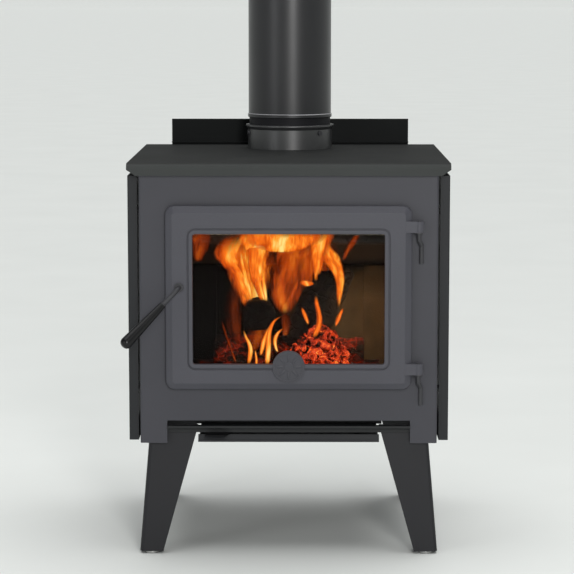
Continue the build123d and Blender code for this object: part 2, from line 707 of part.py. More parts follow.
def air_box():
    """The duct under the floor that the slide opens and closes from below."""
    half = AIR_BOX_HALF
    back = AIR_BOX_FRONT + AIR_BOX_DEPTH
    z = (AIR_BOX_BOTTOM, BOX_BOTTOM)
    duct = block((-half, half), (AIR_BOX_FRONT, back), z)
    inside = block(
        (-half + SHEET, half - SHEET),
        (AIR_BOX_FRONT + SHEET, back - SHEET),
        (AIR_BOX_BOTTOM + SHEET, BOX_BOTTOM),
    )
    duct -= inside
    middle = AIR_BOX_FRONT + AIR_BOX_DEPTH / 2
    slot_x = (-GATE_WIDTH, -GATE_WIDTH + AIR_SLOT_WIDTH)
    slot = (middle - AIR_SLOT_DEPTH / 2, middle + AIR_SLOT_DEPTH / 2)
    return duct - block(slot_x, slot, (AIR_BOX_BOTTOM, AIR_BOX_BOTTOM + SHEET))


def air_guides():
    """Two straps under the air box that carry the slide."""
    half = AIR_BOX_HALF
    low = TAB_BOTTOM - GUIDE - SLIDE_GAP / 2
    back = AIR_BOX_FRONT + AIR_BOX_DEPTH
    straps = []
    for depth in ((AIR_BOX_FRONT, AIR_BOX_FRONT + GUIDE_DEPTH), (back - GUIDE_DEPTH, back)):
        strap = block((-half, half), depth, (low, low + GUIDE))
        for x in ((-half, -half + GUIDE), (half - GUIDE, half)):
            strap += block(x, depth, (low, AIR_BOX_BOTTOM))
        straps.append(strap)
    return straps


def air_slide():
    """The gate plate with its skewed finger tab."""
    near = AIR_BOX_FRONT + (AIR_BOX_DEPTH - GATE_DEPTH) / 2
    gate_x = (-TAB_START + TAB_SKEW - PIN_RADIUS, -TAB_START + TAB_SKEW - PIN_RADIUS + GATE_WIDTH)
    gate = block(gate_x, (near, near + GATE_DEPTH), (TAB_BOTTOM, TAB_TOP))
    tab = [
        (-TAB_START, -TAB_FRONT),
        (-TAB_START + TAB_WIDTH, -TAB_FRONT),
        (-TAB_START + TAB_WIDTH + TAB_SKEW, near),
        (-TAB_START + TAB_SKEW, near),
    ]
    outline = make_face(Polyline(*tab, close=True))
    tip = outline.vertices().sort_by(Axis.Y)[0:2]
    outline = fillet(tip, PIN_RADIUS)
    return gate + Pos(0, FRONT, TAB_BOTTOM) * extrude(outline, TAB)


# ---- legs ----
def leg_section(inner, outer, near, deep, z):
    """A rounded angle section in plan, at one height."""
    corners = [
        (inner, near),
        (outer, near),
        (outer, near + deep),
        (outer - LEG, near + deep),
        (outer - LEG, near + LEG),
        (inner, near + LEG),
    ]
    outline = make_face(Polyline(*corners, close=True))
    outline = fillet(outline.vertices().sort_by_distance((outer, near))[0], LEG_BEND)
    outline = fillet(outline.vertices().sort_by_distance((outer - LEG, near + LEG))[0], LEG_BEND - LEG)
    return Pos(0, FRONT, z) * outline


def leg_bolt_places():
    """The four pads' bolt positions, two to a pad."""
    x_out = LEG_TOP_OUTER - LEG - 2 * BOLT_HEAD_RADIUS
    x_in = LEG_TOP_INNER + 2 * BOLT_HEAD_RADIUS
    near = LEG_SETBACK_TOP + LEG_TOP_DEPTH / 2
    depths = (near, 2 * LEG_MIDDLE - near)
    return [(side * x, depth) for side in (-1, 1) for x in (x_in, x_out) for depth in depths]


def glide_centre():
    """X and depth of the front right glide."""
    x = LEG_TOP_OUTER + LEG_SPLAY - LEG_FOOT_WIDTH / 2
    return x, LEG_SETBACK_FOOT + GLIDE_RADIUS


def front_leg():
    """A folded plate leg on the right: a pad on top, relieved behind the notch, and a small sole."""
    foot_outer = LEG_TOP_OUTER + LEG_SPLAY
    foot = leg_section(
        foot_outer - LEG_FOOT_WIDTH, foot_outer, LEG_SETBACK_FOOT, LEG_FOOT_DEPTH, GLIDE_HEIGHT
    )
    head = leg_section(LEG_TOP_INNER, LEG_TOP_OUTER, LEG_SETBACK_TOP, LEG_TOP_DEPTH, BOX_BOTTOM)
    leg = loft([foot, head], ruled=True)
    pad_z = (BOX_BOTTOM - LEG_PAD, BOX_BOTTOM)
    pad_depth = (LEG_SETBACK_TOP + LEG / 2, LEG_SETBACK_TOP + LEG_TOP_DEPTH)
    leg += block((LEG_TOP_INNER, LEG_TOP_OUTER - LEG / 2), pad_depth, pad_z)
    relief_depth = (LEG_SETBACK_TOP - LEG, LEG_SETBACK_TOP + 1.5 * LEG)
    leg -= block((LEG_TOP_INNER - LEG, NOTCH_HALF + LEG / 2), relief_depth, (LIP_TOP, BOX_BOTTOM))
    x, depth = glide_centre()
    sole_x = (foot_outer - LEG_FOOT_WIDTH + LEG / 2, foot_outer - LEG / 2)
    sole_depth = (LEG_SETBACK_FOOT + LEG / 2, LEG_SETBACK_FOOT + LEG_FOOT_DEPTH)
    leg += block(sole_x, sole_depth, (GLIDE_HEIGHT, GLIDE_HEIGHT + LEG))
    leg -= rod_up(x, depth, (GLIDE_HEIGHT, GLIDE_HEIGHT + LEG), BOLT_RADIUS + SCREW_GAP)
    for x_at, depth_at in leg_bolt_places():
        leg -= rod_up(x_at, depth_at, pad_z, BOLT_RADIUS + SCREW_GAP)
    return leg


def leg_bolts():
    pad_bottom = BOX_BOTTOM - LEG_PAD
    bolts = []
    for x, depth in leg_bolt_places():
        head = Pos(x, FRONT + depth, pad_bottom - BOLT_HEAD) * extrude(
            RegularPolygon(BOLT_HEAD_RADIUS, 6), BOLT_HEAD
        )
        bolts.append(head + rod_up(x, depth, (pad_bottom, INNER_FLOOR), BOLT_RADIUS))
    return bolts


def foot_glides():
    x, near = glide_centre()
    glides = []
    for side in (-1, 1):
        for depth in (near, 2 * LEG_MIDDLE - near):
            disc = rod_up(side * x, depth, (0, GLIDE_HEIGHT), GLIDE_RADIUS)
            disc = fillet(disc.edges().filter_by(GeomType.CIRCLE), 1.2)
            stud = rod_up(side * x, depth, (GLIDE_HEIGHT, GLIDE_HEIGHT + 2 * LEG), BOLT_RADIUS)
            glides.append(disc + stud)
    return glides


# ---- flue ----
def flue_collar():
    lip = COLLAR_TOP - COLLAR_RIM_HEIGHT
    flare = lip - COLLAR_RIM * 1.5
    collar = turned([
        (COLLAR_INNER, BOX_TOP),
        (COLLAR_OUTER, BOX_TOP),
        (COLLAR_OUTER, flare),
        (RIM_RADIUS, lip),
        (RIM_RADIUS, COLLAR_TOP),
        (COLLAR_INNER, COLLAR_TOP),
    ])
    rim = collar.edges().filter_by(GeomType.CIRCLE).sort_by(Edge.length)[-2:]
    return fillet(rim, COLLAR_RIM_HEIGHT * 0.35)


def flue_adapter():
    """The crimped ring between the collar and the pipe."""
    return turned([
        (LINER_RADIUS, LINER_BOTTOM),
        (COLLAR_INNER - SCREW_GAP, LINER_BOTTOM),
        (COLLAR_INNER - SCREW_GAP, COLLAR_TOP),
        (SKIN_INNER - LINER, COLLAR_TOP),
        (SKIN_INNER - LINER, NECK_TOP + BEAD_HEIGHT),
        (LINER_RADIUS, NECK_TOP + BEAD_HEIGHT),
    ])


def flue_liner():
    return turned([
        (FLUE_BORE_RADIUS, LINER_BOTTOM),
        (LINER_RADIUS, LINER_BOTTOM),
        (LINER_RADIUS, PIPE_TOP),
        (FLUE_BORE_RADIUS, PIPE_TOP),
    ])


def flue_shell():
    """The outer skin, with a rolled bead round its lower end."""
    bead = Pos(PIPE_RADIUS - PIPE_SKIN, NECK_TOP + BEAD_HEIGHT / 2) * Rectangle(
        PIPE_SKIN + PIPE_BEAD, BEAD_HEIGHT, align=(Align.MIN, Align.CENTER)
    )
    bead = fillet(bead.vertices().group_by(Axis.X)[-1], PIPE_BEAD)
    wall = Pos(SKIN_INNER, NECK_TOP) * Rectangle(PIPE_SKIN, PIPE_TOP - NECK_TOP, align=Align.MIN)
    return Pos(0, FRONT + FLUE_AT, 0) * revolve(Plane.XZ * (wall + bead), Axis.Z)


def flue_spacer_rings():
    rings = []
    for z in (NECK_TOP + 4 * BEAD_HEIGHT, PIPE_TOP - 2 * BEAD_HEIGHT):
        rings.append(turned([
            (LINER_RADIUS, z),
            (SKIN_INNER, z),
            (SKIN_INNER, z + SPACER_RING),
            (LINER_RADIUS, z + SPACER_RING),
        ]))
    return rings


def flue_screws():
    """Three screws that hold the pipe's ring in the collar."""
    z = STOVE_HEIGHT + COLLAR_HEIGHT - ADAPTER_REACH / 2 - COLLAR_RIM * 1.5
    screws = []
    for angle in (-45, 75, 195):
        reach = Cylinder(SCREW_RADIUS, COLLAR_WALL, rotation=(0, 90, 0))
        shank = Pos(COLLAR_OUTER - COLLAR_WALL / 2, 0, 0) * reach
        cap = Cylinder(SCREW_HEAD_RADIUS * 0.8, SCREW_HEAD, rotation=(0, 90, 0))
        head = Pos(COLLAR_OUTER + SCREW_HEAD / 2, 0, 0) * cap
        screws.append(Pos(0, FRONT + FLUE_AT, z) * Rot(0, 0, angle) * (shank + head))
    return screws


def drilled_collar():
    collar = flue_collar()
    for screw in flue_screws():
        collar -= screw
    return collar


# ---- door ----
def door_lug(bottom):
    """A hinge ear that grows out of the door's edge and ends in a round knuckle."""
    top = bottom + LUG_HEIGHT
    arm = block(
        (DOOR_HALF - DOOR_BEVEL_WIDTH, HINGE_X),
        (HINGE_AT - LUG_RADIUS + 1.5, HINGE_AT + LUG_RADIUS - 2.5),
        (bottom, top),
    )
    lug = arm + rod_up(HINGE_X, HINGE_AT, (bottom, top), LUG_RADIUS)
    rims = lug.edges().filter_by(GeomType.CIRCLE)
    return fillet(rims, 1.0)


def lug_bottoms():
    return DOOR_TOP - LUG_INSET - LUG_HEIGHT, DOOR_BOTTOM + LUG_INSET


def door_casting():
    """The cast frame: bevelled rim, bead and groove round the window, seats behind."""
    outer = frame_outline(DOOR_HALF, DOOR_HEIGHT, DOOR_MIDDLE, DOOR_CORNER)
    body = slab(outer, (DOOR_FACE + DOOR_BEVEL_DEPTH, DOOR_BACK))
    inset = 2 * DOOR_BEVEL_WIDTH
    face = frame_outline(
        DOOR_HALF - DOOR_BEVEL_WIDTH, DOOR_HEIGHT - inset, DOOR_MIDDLE, DOOR_CORNER - DOOR_BEVEL_WIDTH
    )
    low = Plane.XZ.offset(-(FRONT + DOOR_FACE + DOOR_BEVEL_DEPTH))
    high = Plane.XZ.offset(-(FRONT + DOOR_FACE))
    body += loft([low * outer, high * face], ruled=True)
    for setback, radius in ((DOOR_FACE, 1.5), (DOOR_FACE + DOOR_BEVEL_DEPTH, DOOR_RIM_RADIUS)):
        rim = body.edges().filter_by_position(Axis.Y, FRONT + setback - 0.1, FRONT + setback + 0.1)
        body = fillet(rim, radius)

    window = frame_outline(WINDOW_HALF, WINDOW_HEIGHT, WINDOW_MIDDLE, WINDOW_CORNER)

    def ring(lap, corner):
        return frame_outline(WINDOW_HALF + lap, WINDOW_HEIGHT + 2 * lap, WINDOW_MIDDLE, corner)

    groove = BEAD_WIDTH + GROOVE_WIDTH
    groove_ring = ring(groove, WINDOW_CORNER + groove) - ring(BEAD_WIDTH, WINDOW_CORNER + BEAD_WIDTH)
    body -= slab(groove_ring, (DOOR_FACE, DOOR_FACE + GROOVE_DEPTH))
    bead = slab(ring(BEAD_WIDTH, WINDOW_CORNER + BEAD_WIDTH), (DOOR_FACE - BEAD_RISE, DOOR_FACE))
    bead -= slab(window, (DOOR_FACE - BEAD_RISE, DOOR_FACE))
    bead = fillet(bead.faces().sort_by(Axis.Y)[0].edges(), BEAD_RISE * 0.7)
    body += bead
    body -= slab(window, (DOOR_FACE, DOOR_BACK))
    rebate = ring(REBATE_LAP, WINDOW_CORNER)
    body -= slab(rebate, (DOOR_BACK - REBATE_DEPTH, DOOR_BACK))
    for bottom in lug_bottoms():
        body += door_lug(bottom)
        body -= rod_up(HINGE_X, HINGE_AT, (bottom, bottom + LUG_HEIGHT), PIN_RADIUS + PIN_GAP)
    body -= slab(rope_outline(), (DOOR_BACK - ROPE_SEAT, DOOR_BACK))
    body -= rod_back(HANDLE_X, (DOOR_FACE, DOOR_BACK), HANDLE_Z, BUSH_RADIUS)
    for x, z in retainer_screw_places():
        body -= rod_back(x, (DOOR_BACK - REBATE_DEPTH, DOOR_BACK), z, SCREW_RADIUS + SCREW_GAP)
    return body - door_badge()


def rope_outline():
    """The ring of the rope seat, in X-Z."""
    outside = ROPE_INSET
    inside = ROPE_INSET + ROPE_WIDTH
    ring = frame_outline(
        DOOR_HALF - outside, DOOR_HEIGHT - 2 * outside, DOOR_MIDDLE, DOOR_CORNER - outside
    )
    return ring - frame_outline(
        DOOR_HALF - inside, DOOR_HEIGHT - 2 * inside, DOOR_MIDDLE, DOOR_CORNER - inside
    )


def door_gasket():
    rope = slab(rope_outline(), (DOOR_BACK - ROPE_SEAT, FRONT_SETBACK - ROPE_GAP))
    crown = rope.faces().sort_by(Axis.Y)[-1].edges()
    return fillet(crown, ROPE_WIDTH * 0.2)


def glass_outline(lap):
    return frame_outline(WINDOW_HALF + lap, WINDOW_HEIGHT + 2 * lap, WINDOW_MIDDLE, WINDOW_CORNER)


def door_glass():
    front = DOOR_BACK - REBATE_DEPTH + TAPE
    return slab(glass_outline(GLASS_LAP), (front, front + GLASS))


def glass_gasket():
    """Flat tape folded round the edge of the pane."""
    tape = slab(glass_outline(REBATE_LAP), (DOOR_BACK - REBATE_DEPTH, DOOR_BACK))
    tape -= door_glass()
    return tape - slab(glass_outline(GLASS_LAP - TAPE_LAP), (DOOR_BACK - REBATE_DEPTH, DOOR_BACK))


def retainer_levels():
    """Bottom and top of each strip that holds the pane."""
    half = WINDOW_HEIGHT / 2
    inner = half + SHEET
    outer = half + REBATE_LAP + RETAINER_LAP
    return (WINDOW_MIDDLE - outer, WINDOW_MIDDLE - inner), (WINDOW_MIDDLE + inner, WINDOW_MIDDLE + outer)


def retainer_screw_places():
    half = WINDOW_HEIGHT / 2 + REBATE_LAP + RETAINER_LAP / 2
    levels = (WINDOW_MIDDLE - half, WINDOW_MIDDLE + half)
    return [(x, z) for z in levels for x in spread(-WINDOW_HALF * 0.8, WINDOW_HALF * 0.8, 4)]


def glass_retainers():
    strips = []
    for z in retainer_levels():
        strip = block((-WINDOW_HALF, WINDOW_HALF), (DOOR_BACK, DOOR_BACK + SHEET), z)
        for x, level in retainer_screw_places():
            strip -= rod_back(x, (DOOR_BACK, DOOR_BACK + SHEET), level, SCREW_RADIUS + SCREW_GAP)
        strips.append(strip)
    return strips


def retainer_screws():
    back = DOOR_BACK + SHEET
    radius = SCREW_HEAD_RADIUS * 0.75
    return [
        rod_back(x, (back, back + SCREW_HEAD), z, radius)
        + rod_back(x, (DOOR_BACK - REBATE_DEPTH, back), z, SCREW_RADIUS)
        for x, z in retainer_screw_places()
    ]


def door_badge():
    """A plain round medallion with a raised rim, low on the window's edge."""
    z = WINDOW_MIDDLE - WINDOW_HEIGHT / 2 - BADGE_DROP
    front = DOOR_FACE - BADGE_THICK
    disc = rod_back(0, (front, DOOR_FACE + GROOVE_DEPTH), z, BADGE_RADIUS)
    dish = rod_back(0, (front, front + 1.2), z, BADGE_RADIUS - 4)
    boss = rod_back(0, (front, front + 1.2), z, BADGE_RADIUS / 4)
    badge = disc - dish + boss
    rim = badge.edges().filter_by(GeomType.CIRCLE).filter_by_position(Axis.Y, FRONT + front, FRONT + front)
    return fillet(rim, 0.5)


# ---- hinges, handle and latch ----
def hinge_pin(lug_bottom):
    """A bent rod: upright in the lug, jogged back, and welded down the front plate."""
    low = lug_bottom - PIN_DROP
    tail_x = HINGE_X + PIN_JOG_SIDE
    tail_y = FRONT + FRONT_SETBACK - PIN_RADIUS
    points = [
        (HINGE_X, FRONT + HINGE_AT, lug_bottom + LUG_HEIGHT + 1.0),
        (HINGE_X, FRONT + HINGE_AT, low),
        (tail_x, tail_y, low - PIN_JOG),
        (tail_x, tail_y, low - PIN_JOG - PIN_TAIL),
    ]
    return bent_rod(points, PIN_RADIUS * 1.6, PIN_RADIUS)


def hinge_washers():
    washers = []
    for bottom in lug_bottoms():
        z = (bottom - SLIDE_GAP / 2 - WASHER, bottom - SLIDE_GAP / 2)
        disc = rod_up(HINGE_X, HINGE_AT, z, WASHER_RADIUS)
        washers.append(disc - rod_up(HINGE_X, HINGE_AT, z, PIN_RADIUS))
    return washers


def latch_bush():
    sleeve = rod_back(HANDLE_X, (DOOR_FACE, DOOR_BACK), HANDLE_Z, BUSH_RADIUS)
    flange = rod_back(HANDLE_X, (DOOR_FACE - BUSH_FLANGE, DOOR_FACE), HANDLE_Z, BUSH_FLANGE_RADIUS)
    rim = flange.edges().filter_by(GeomType.CIRCLE).sort_by(Axis.Y)[0]
    flange = fillet(rim, BUSH_FLANGE * 0.4)
    hole = (DOOR_FACE - BUSH_FLANGE, DOOR_BACK)
    return sleeve + flange - rod_back(HANDLE_X, hole, HANDLE_Z, ROD_RADIUS + PIN_GAP)


def handle_direction():
    """Unit vector from the bend to the grip's end: down, outwards to the left, and forwards."""
    flat = cos(radians(HANDLE_TILT))
    angle = radians(HANDLE_ANGLE)
    return Vector(-flat * sin(angle), -sin(radians(HANDLE_TILT)), -flat * cos(angle))


def handle_bend_point():
    return Vector(HANDLE_X, FRONT - HANDLE_STANDOFF - ROD_BEND, HANDLE_Z)


def handle_rod():
    bend = handle_bend_point()
    start = (HANDLE_X, FRONT + FRONT_BACK + CAM_CLEARANCE + CAM + NUT_HEIGHT + 2.0, HANDLE_Z)
    end = bend + handle_direction() * (HANDLE_NECK + GRIP_LENGTH / 2)
    return bent_rod([start, bend, end], ROD_BEND, ROD_RADIUS)


def handle_grip():
    """A tapered grip with a domed end, bored for the rod."""
    upright = (Align.CENTER, Align.CENTER, Align.MIN)
    grip = Cone(GRIP_START_RADIUS, GRIP_END_RADIUS, GRIP_LENGTH, align=upright)
    grip = fillet(grip.edges().filter_by(GeomType.CIRCLE).sort_by(Axis.Z)[-1], GRIP_END_RADIUS - GRIP_FLAT)
    grip = fillet(grip.edges().filter_by(GeomType.CIRCLE).sort_by(Axis.Z)[0], GRIP_START_ROUND)
    bore = Cylinder(ROD_RADIUS, GRIP_LENGTH / 2, align=upright)
    direction = handle_direction()
    place = Plane(origin=handle_bend_point() + direction * HANDLE_NECK, z_dir=direction)
    return place * (grip - bore)


def cam_depth():
    near = FRONT_BACK + CAM_CLEARANCE
    return near, near + CAM


def latch_cam():
    """A snail cam whose nose stops just inside the opening's edge."""
    nose = HANDLE_INSET - OPENING_INSET - CAM_CLEARANCE
    round_part = slab(Pos(HANDLE_X, HANDLE_Z) * Circle(nose), cam_depth())
    lobe = slab(Pos(HANDLE_X + CAM_BACK_RADIUS / 2, HANDLE_Z) * Circle(CAM_BACK_RADIUS), cam_depth())
    cam = round_part + lobe
    edge = HANDLE_X - nose
    cam -= block((edge - CAM_BACK_RADIUS, edge), cam_depth(), (HANDLE_Z - 30, HANDLE_Z + 30))
    return cam - rod_back(HANDLE_X, cam_depth(), HANDLE_Z, ROD_RADIUS)


def latch_nut():
    back = cam_depth()[1]
    hexagon = Pos(HANDLE_X, HANDLE_Z) * RegularPolygon(NUT_RADIUS, 6)
    return slab(hexagon - Pos(HANDLE_X, HANDLE_Z) * Circle(ROD_RADIUS), (back, back + NUT_HEIGHT))


def door_catch():
    """The wedge behind the front plate that the cam draws up to."""
    right = -DOOR_HALF + OPENING_INSET - SLIDE_GAP
    left = right - CATCH_WIDTH
    near = FRONT + FRONT_BACK
    wedge = [
        (right, near),
        (right, near + CATCH_DEPTH / 2),
        (left, near + CATCH_DEPTH),
        (left, near),
    ]
    outline = make_face(Polyline(*wedge, close=True))
    return Pos(0, 0, HANDLE_Z - CATCH_HEIGHT / 2) * extrude(outline, CATCH_HEIGHT)


# ---- write every node ----
left_side, right_side = firebox_sides()
right_leg = front_leg()
left_leg = mirror(right_leg, Plane.YZ)
behind = Plane.XZ.offset(-(FRONT + LEG_MIDDLE))

save("top_plate", top_plate())
save("top_plate_spacers", *top_spacers())
save("front_plate", front_plate())
save("firebox_left_side", left_side)
save("firebox_right_side", right_side)
save("firebox_back", firebox_back())
save("firebox_top", firebox_top())
save("firebox_floor", firebox_floor())
save("side_shield_left", side_shield(-1))
save("side_shield_right", side_shield(1))
save("rear_heat_shield", rear_shield())
save("shield_spacers", *shield_spacers())
save("shield_screws", *shield_screws())
save("bottom_heat_shield", bottom_shield())
save("bottom_shield_bolts", *bottom_shield_bolts())
save("ash_lip", ash_lip())
save("bricks_left", *wall_bricks(-1))
save("bricks_right", *wall_bricks(1))
save("bricks_back", *back_bricks())
save("bricks_floor", *floor_bricks())
save("brick_rail", brick_rail())
save("brick_clips", *brick_clips())
save("baffle_board", baffle(BAFFLE, BAFFLE_BOTTOM))
save("baffle_blanket", baffle(BLANKET, BAFFLE_BOTTOM + BAFFLE))
save("baffle_rails", *baffle_rails())
save("secondary_air_tubes", *air_tubes())
save("air_risers", *air_risers())
save("airwash_deflector", airwash_deflector())
save("air_box", air_box())
save("air_slide_guides", *air_guides())
save("air_slide", air_slide())
save("leg_front_right", right_leg)
save("leg_front_left", left_leg)
save("leg_rear_right", mirror(right_leg, behind))
save("leg_rear_left", mirror(left_leg, behind))
save("leg_bolts", *leg_bolts())
save("foot_glides", *foot_glides())
save("flue_collar", drilled_collar())
save("flue_adapter", flue_adapter())
save("flue_pipe_liner", flue_liner())
save("flue_pipe_shell", flue_shell())
save("flue_spacer_rings", *flue_spacer_rings())
save("flue_screws", *flue_screws())
save("door_casting", door_casting())
save("door_glass", door_glass())
save("glass_gasket", glass_gasket())
save("glass_retainers", *glass_retainers())
save("retainer_screws", *retainer_screws())
save("door_gasket", door_gasket())
save("door_badge", door_badge())
save("latch_bush", latch_bush())
save("hinge_pin_upper", hinge_pin(lug_bottoms()[0]))
save("hinge_pin_lower", hinge_pin(lug_bottoms()[1]))
save("hinge_washers", *hinge_washers())
save("handle_rod", handle_rod())
save("handle_grip", handle_grip())
save("latch_cam", latch_cam())
save("latch_nut", latch_nut())
save("door_catch", door_catch())
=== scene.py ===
import math

import bpy
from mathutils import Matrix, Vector


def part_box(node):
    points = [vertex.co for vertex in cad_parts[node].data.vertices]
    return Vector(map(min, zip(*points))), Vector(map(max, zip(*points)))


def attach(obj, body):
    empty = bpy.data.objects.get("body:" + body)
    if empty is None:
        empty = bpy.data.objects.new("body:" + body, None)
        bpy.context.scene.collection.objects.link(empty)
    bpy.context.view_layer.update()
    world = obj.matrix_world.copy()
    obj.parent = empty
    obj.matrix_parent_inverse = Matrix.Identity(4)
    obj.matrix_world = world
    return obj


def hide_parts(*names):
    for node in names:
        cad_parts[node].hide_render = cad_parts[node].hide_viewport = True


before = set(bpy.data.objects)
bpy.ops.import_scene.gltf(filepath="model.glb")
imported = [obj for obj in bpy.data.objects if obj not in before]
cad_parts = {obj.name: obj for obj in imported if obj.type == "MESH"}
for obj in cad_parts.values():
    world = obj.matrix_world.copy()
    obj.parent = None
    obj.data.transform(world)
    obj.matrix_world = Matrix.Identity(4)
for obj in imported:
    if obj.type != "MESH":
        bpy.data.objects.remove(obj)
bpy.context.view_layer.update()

bl_info = {
    "name": "Wood Stove Finishes",
    "version": (1, 0, 0),
    "blender": (4, 5, 0),
    "location": "3D View > Sidebar > Stove",
    "description": "Paints the wood stove, fits its soft parts and lays and lights its fire",
    "category": "Object",
}

MM = 0.001

# ---- the stage ----
FLOOR_RADIUS = 300.0
FLOOR_RIM = 80.0
CAMERA_BACK = 4.130
CAMERA_SIDE = 0.023
CAMERA_HEIGHT = 1.05397
CAMERA_TILT = 7.4
CAMERA_TURN = 0.36
CAMERA_LENS = 138.86

# ---- the heap of burning coals, whose depth and half depth are in millimetres ----
HEAP_X = 0.058
HEAP_HALF_WIDTH = 0.075
HEAP_DEPTH = 190
HEAP_HALF_DEPTH = 90
HEAP_HEIGHT = 0.100
BED_HALF_WIDTH = 0.150

# ---- which carried-over nodes take which finish ----
LEG_NODES = [f"leg_{end}_{side}" for end in ("front", "rear") for side in ("left", "right")]
SHIELD_NODES = ["side_shield_left", "side_shield_right", "bottom_heat_shield"]
HOT_STEEL_NODES = [
    "top_plate_spacers", "firebox_left_side", "firebox_right_side", "firebox_back", "firebox_top",
    "firebox_floor", "brick_rail", "brick_clips", "baffle_rails", "secondary_air_tubes", "air_risers",
    "airwash_deflector", "air_box", "air_slide_guides", "door_catch", "glass_retainers",
]
LINER_NODES = ["flue_pipe_liner", "flue_spacer_rings"]
ZINC_NODES = [
    "foot_glides", "leg_bolts", "bottom_shield_bolts", "shield_spacers", "retainer_screws", "latch_nut",
    "latch_cam",
]
DARK_STEEL_NODES = [
    "hinge_pin_upper", "hinge_pin_lower", "hinge_washers", "handle_rod", "latch_bush", "shield_screws",
    "flue_screws",
]
BRICK_NODES = ["bricks_left", "bricks_right", "bricks_back", "bricks_floor"]

# ---- places read from the frame ----
badge_low, badge_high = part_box("door_badge")
apron_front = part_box("top_plate")[0].y
FIRE_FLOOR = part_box("bricks_floor")[1].z


def behind(depth):
    """The Y of a place that many millimetres back from the apron's face."""
    return apron_front + depth * MM


# ---- what a user would change ----
def colour_property(name, description, default):
    return bpy.props.FloatVectorProperty(
        name=name, description=description, default=default, size=3, min=0.0, max=1.0, subtype="COLOR"
    )


def length_property(name, description, default):
    return bpy.props.FloatProperty(
        name=name, description=description, default=default, min=0.0, subtype="DISTANCE", unit="LENGTH"
    )


class StoveColours(bpy.types.PropertyGroup):
    """The colours of the stove's finishes."""

    casing: colour_property("Casing paint", "Front plate", (0.046, 0.046, 0.055))
    # Darker than the casing paint: painted shade on the legs.
    leg_with_painted_shade: colour_property("Leg paint with painted shade", "Legs", (0.0145, 0.0145, 0.017))
    # Darkened paint: painted shade standing in for the shadow under the lip's nose.
    lip: colour_property("Lip paint with painted shade", "Ash lip", (0.012, 0.013, 0.014))
    # This colour's greenish tint is a painted reflection, not the paint's own colour.
    top: colour_property("Top plate paint with painted shade and reflection", "Top plate and its apron", (0.046, 0.049, 0.048))
    door: colour_property("Door paint", "Cast door", (0.061, 0.061, 0.073))
    badge: colour_property("Badge paint", "Badge and its rosette", (0.050, 0.050, 0.059))
    slide: colour_property("Slide paint", "Air slide and its tab", (0.003, 0.003, 0.0035))
    shield: colour_property("Shield paint", "Side and bottom shields", (0.014, 0.015, 0.017))
    rear: colour_property("Rear shield paint", "Rear shield", (0.005, 0.006, 0.006))
    pipe: colour_property("Pipe paint", "Flue pipe and its reducer", (0.011, 0.011, 0.013))
    collar: colour_property("Collar paint", "Cast flue collar", (0.024, 0.025, 0.026))
    hot_steel: colour_property("Hot steel", "Bare plate inside the firebox", (0.030, 0.029, 0.030))
    dark_steel: colour_property("Dark steel", "Handle rod and hinge pins", (0.040, 0.040, 0.044))
    grip: colour_property("Grip", "Turned handle grip", (0.006, 0.006, 0.0065))
    zinc: colour_property("Zinc", "Plated bolts and glides", (0.42, 0.42, 0.41))
    liner: colour_property("Liner", "Stainless flue liner", (0.55, 0.54, 0.52))
    brick: colour_property("Firebrick", "Clean firebrick", (0.125, 0.105, 0.062))
    board: colour_property("Baffle board", "Vermiculite board", (0.46, 0.41, 0.31))
    wool: colour_property("Blanket wool", "Ceramic wool", (0.74, 0.72, 0.68))
    rope: colour_property("Rope", "Knitted glass rope", (0.050, 0.050, 0.052))


class StoveSizes(bpy.types.PropertyGroup):
    """The sizes of the pieces added to the frame."""

    strand: length_property("Rope strand", "Radius of one strand of the door rope", 0.0026)
    rope_lay: length_property("Rope lay", "Length of one full turn of the strands", 0.022)
    rumple: length_property("Blanket rumple", "Unevenness of the wool", 0.003)
    coal: length_property("Coal size", "Radius of a usual coal", 0.0095)
    coal_count: bpy.props.IntProperty(name="Coals", description="Loose coals on the bed", default=300, min=1)
    petal_count: bpy.props.IntProperty(name="Petals", description="Petals of the badge", default=8, min=3)


# ---- shader helpers ----
def plug(tree, socket, value):
    if isinstance(value, bpy.types.NodeSocket):
        tree.links.new(value, socket)
    elif hasattr(value, "__len__") and len(value) == 3 and socket.type == "RGBA":
        socket.default_value = (*value, 1.0)
    else:
        socket.default_value = value


def add(tree, kind, settings=None, **inputs):
    """Adds a node. An input that is given a socket is linked, and any other is set."""
    made = tree.nodes.new("ShaderNode" + kind)
    for name, value in (settings or {}).items():
        setattr(made, name, value)
    for name, value in inputs.items():
        plug(tree, made.inputs[name.replace("_", " ")], value)
    return made


def maths(tree, operation, a, b=0.0, clamp=False):
    made = tree.nodes.new("ShaderNodeMath")
    made.operation = operation
    made.use_clamp = clamp
    plug(tree, made.inputs[0], a)
    plug(tree, made.inputs[1], b)
    return made.outputs[0]


def times(tree, a, b, clamp=False):
    return maths(tree, "MULTIPLY", a, b, clamp)


def plus(tree, a, b, clamp=False):
    return maths(tree, "ADD", a, b, clamp)


def swing(tree, value, amount):
    """A noise's value, which lies round a half, as an amount each side of nothing."""
    return times(tree, maths(tree, "SUBTRACT", value, 0.5), amount)


def blend(tree, share, a, b, kind="MIX"):
    made = tree.nodes.new("ShaderNodeMix")
    made.data_type = "RGBA"
    made.blend_type = kind
    plug(tree, made.inputs["Factor"], share)
    plug(tree, made.inputs[6], a)
    plug(tree, made.inputs[7], b)
    return made.outputs[2]


def spread_over(tree, value, low, high, to_low=0.0, to_high=1.0):
    made = tree.nodes.new("ShaderNodeMapRange")
    for index, number in enumerate((value, low, high, to_low, to_high)):
        plug(tree, made.inputs[index], number)
    return made.outputs[0]


def ramp(tree, value, stops):
    made = tree.nodes.new("ShaderNodeValToRGB")
    plug(tree, made.inputs[0], value)
    points = made.color_ramp.elements
    while len(points) < len(stops):
        points.new(0.5)
    for point, (place, colour) in zip(points, stops):
        point.position = place
        point.color = (*colour, 1.0)
    return made.outputs[0]


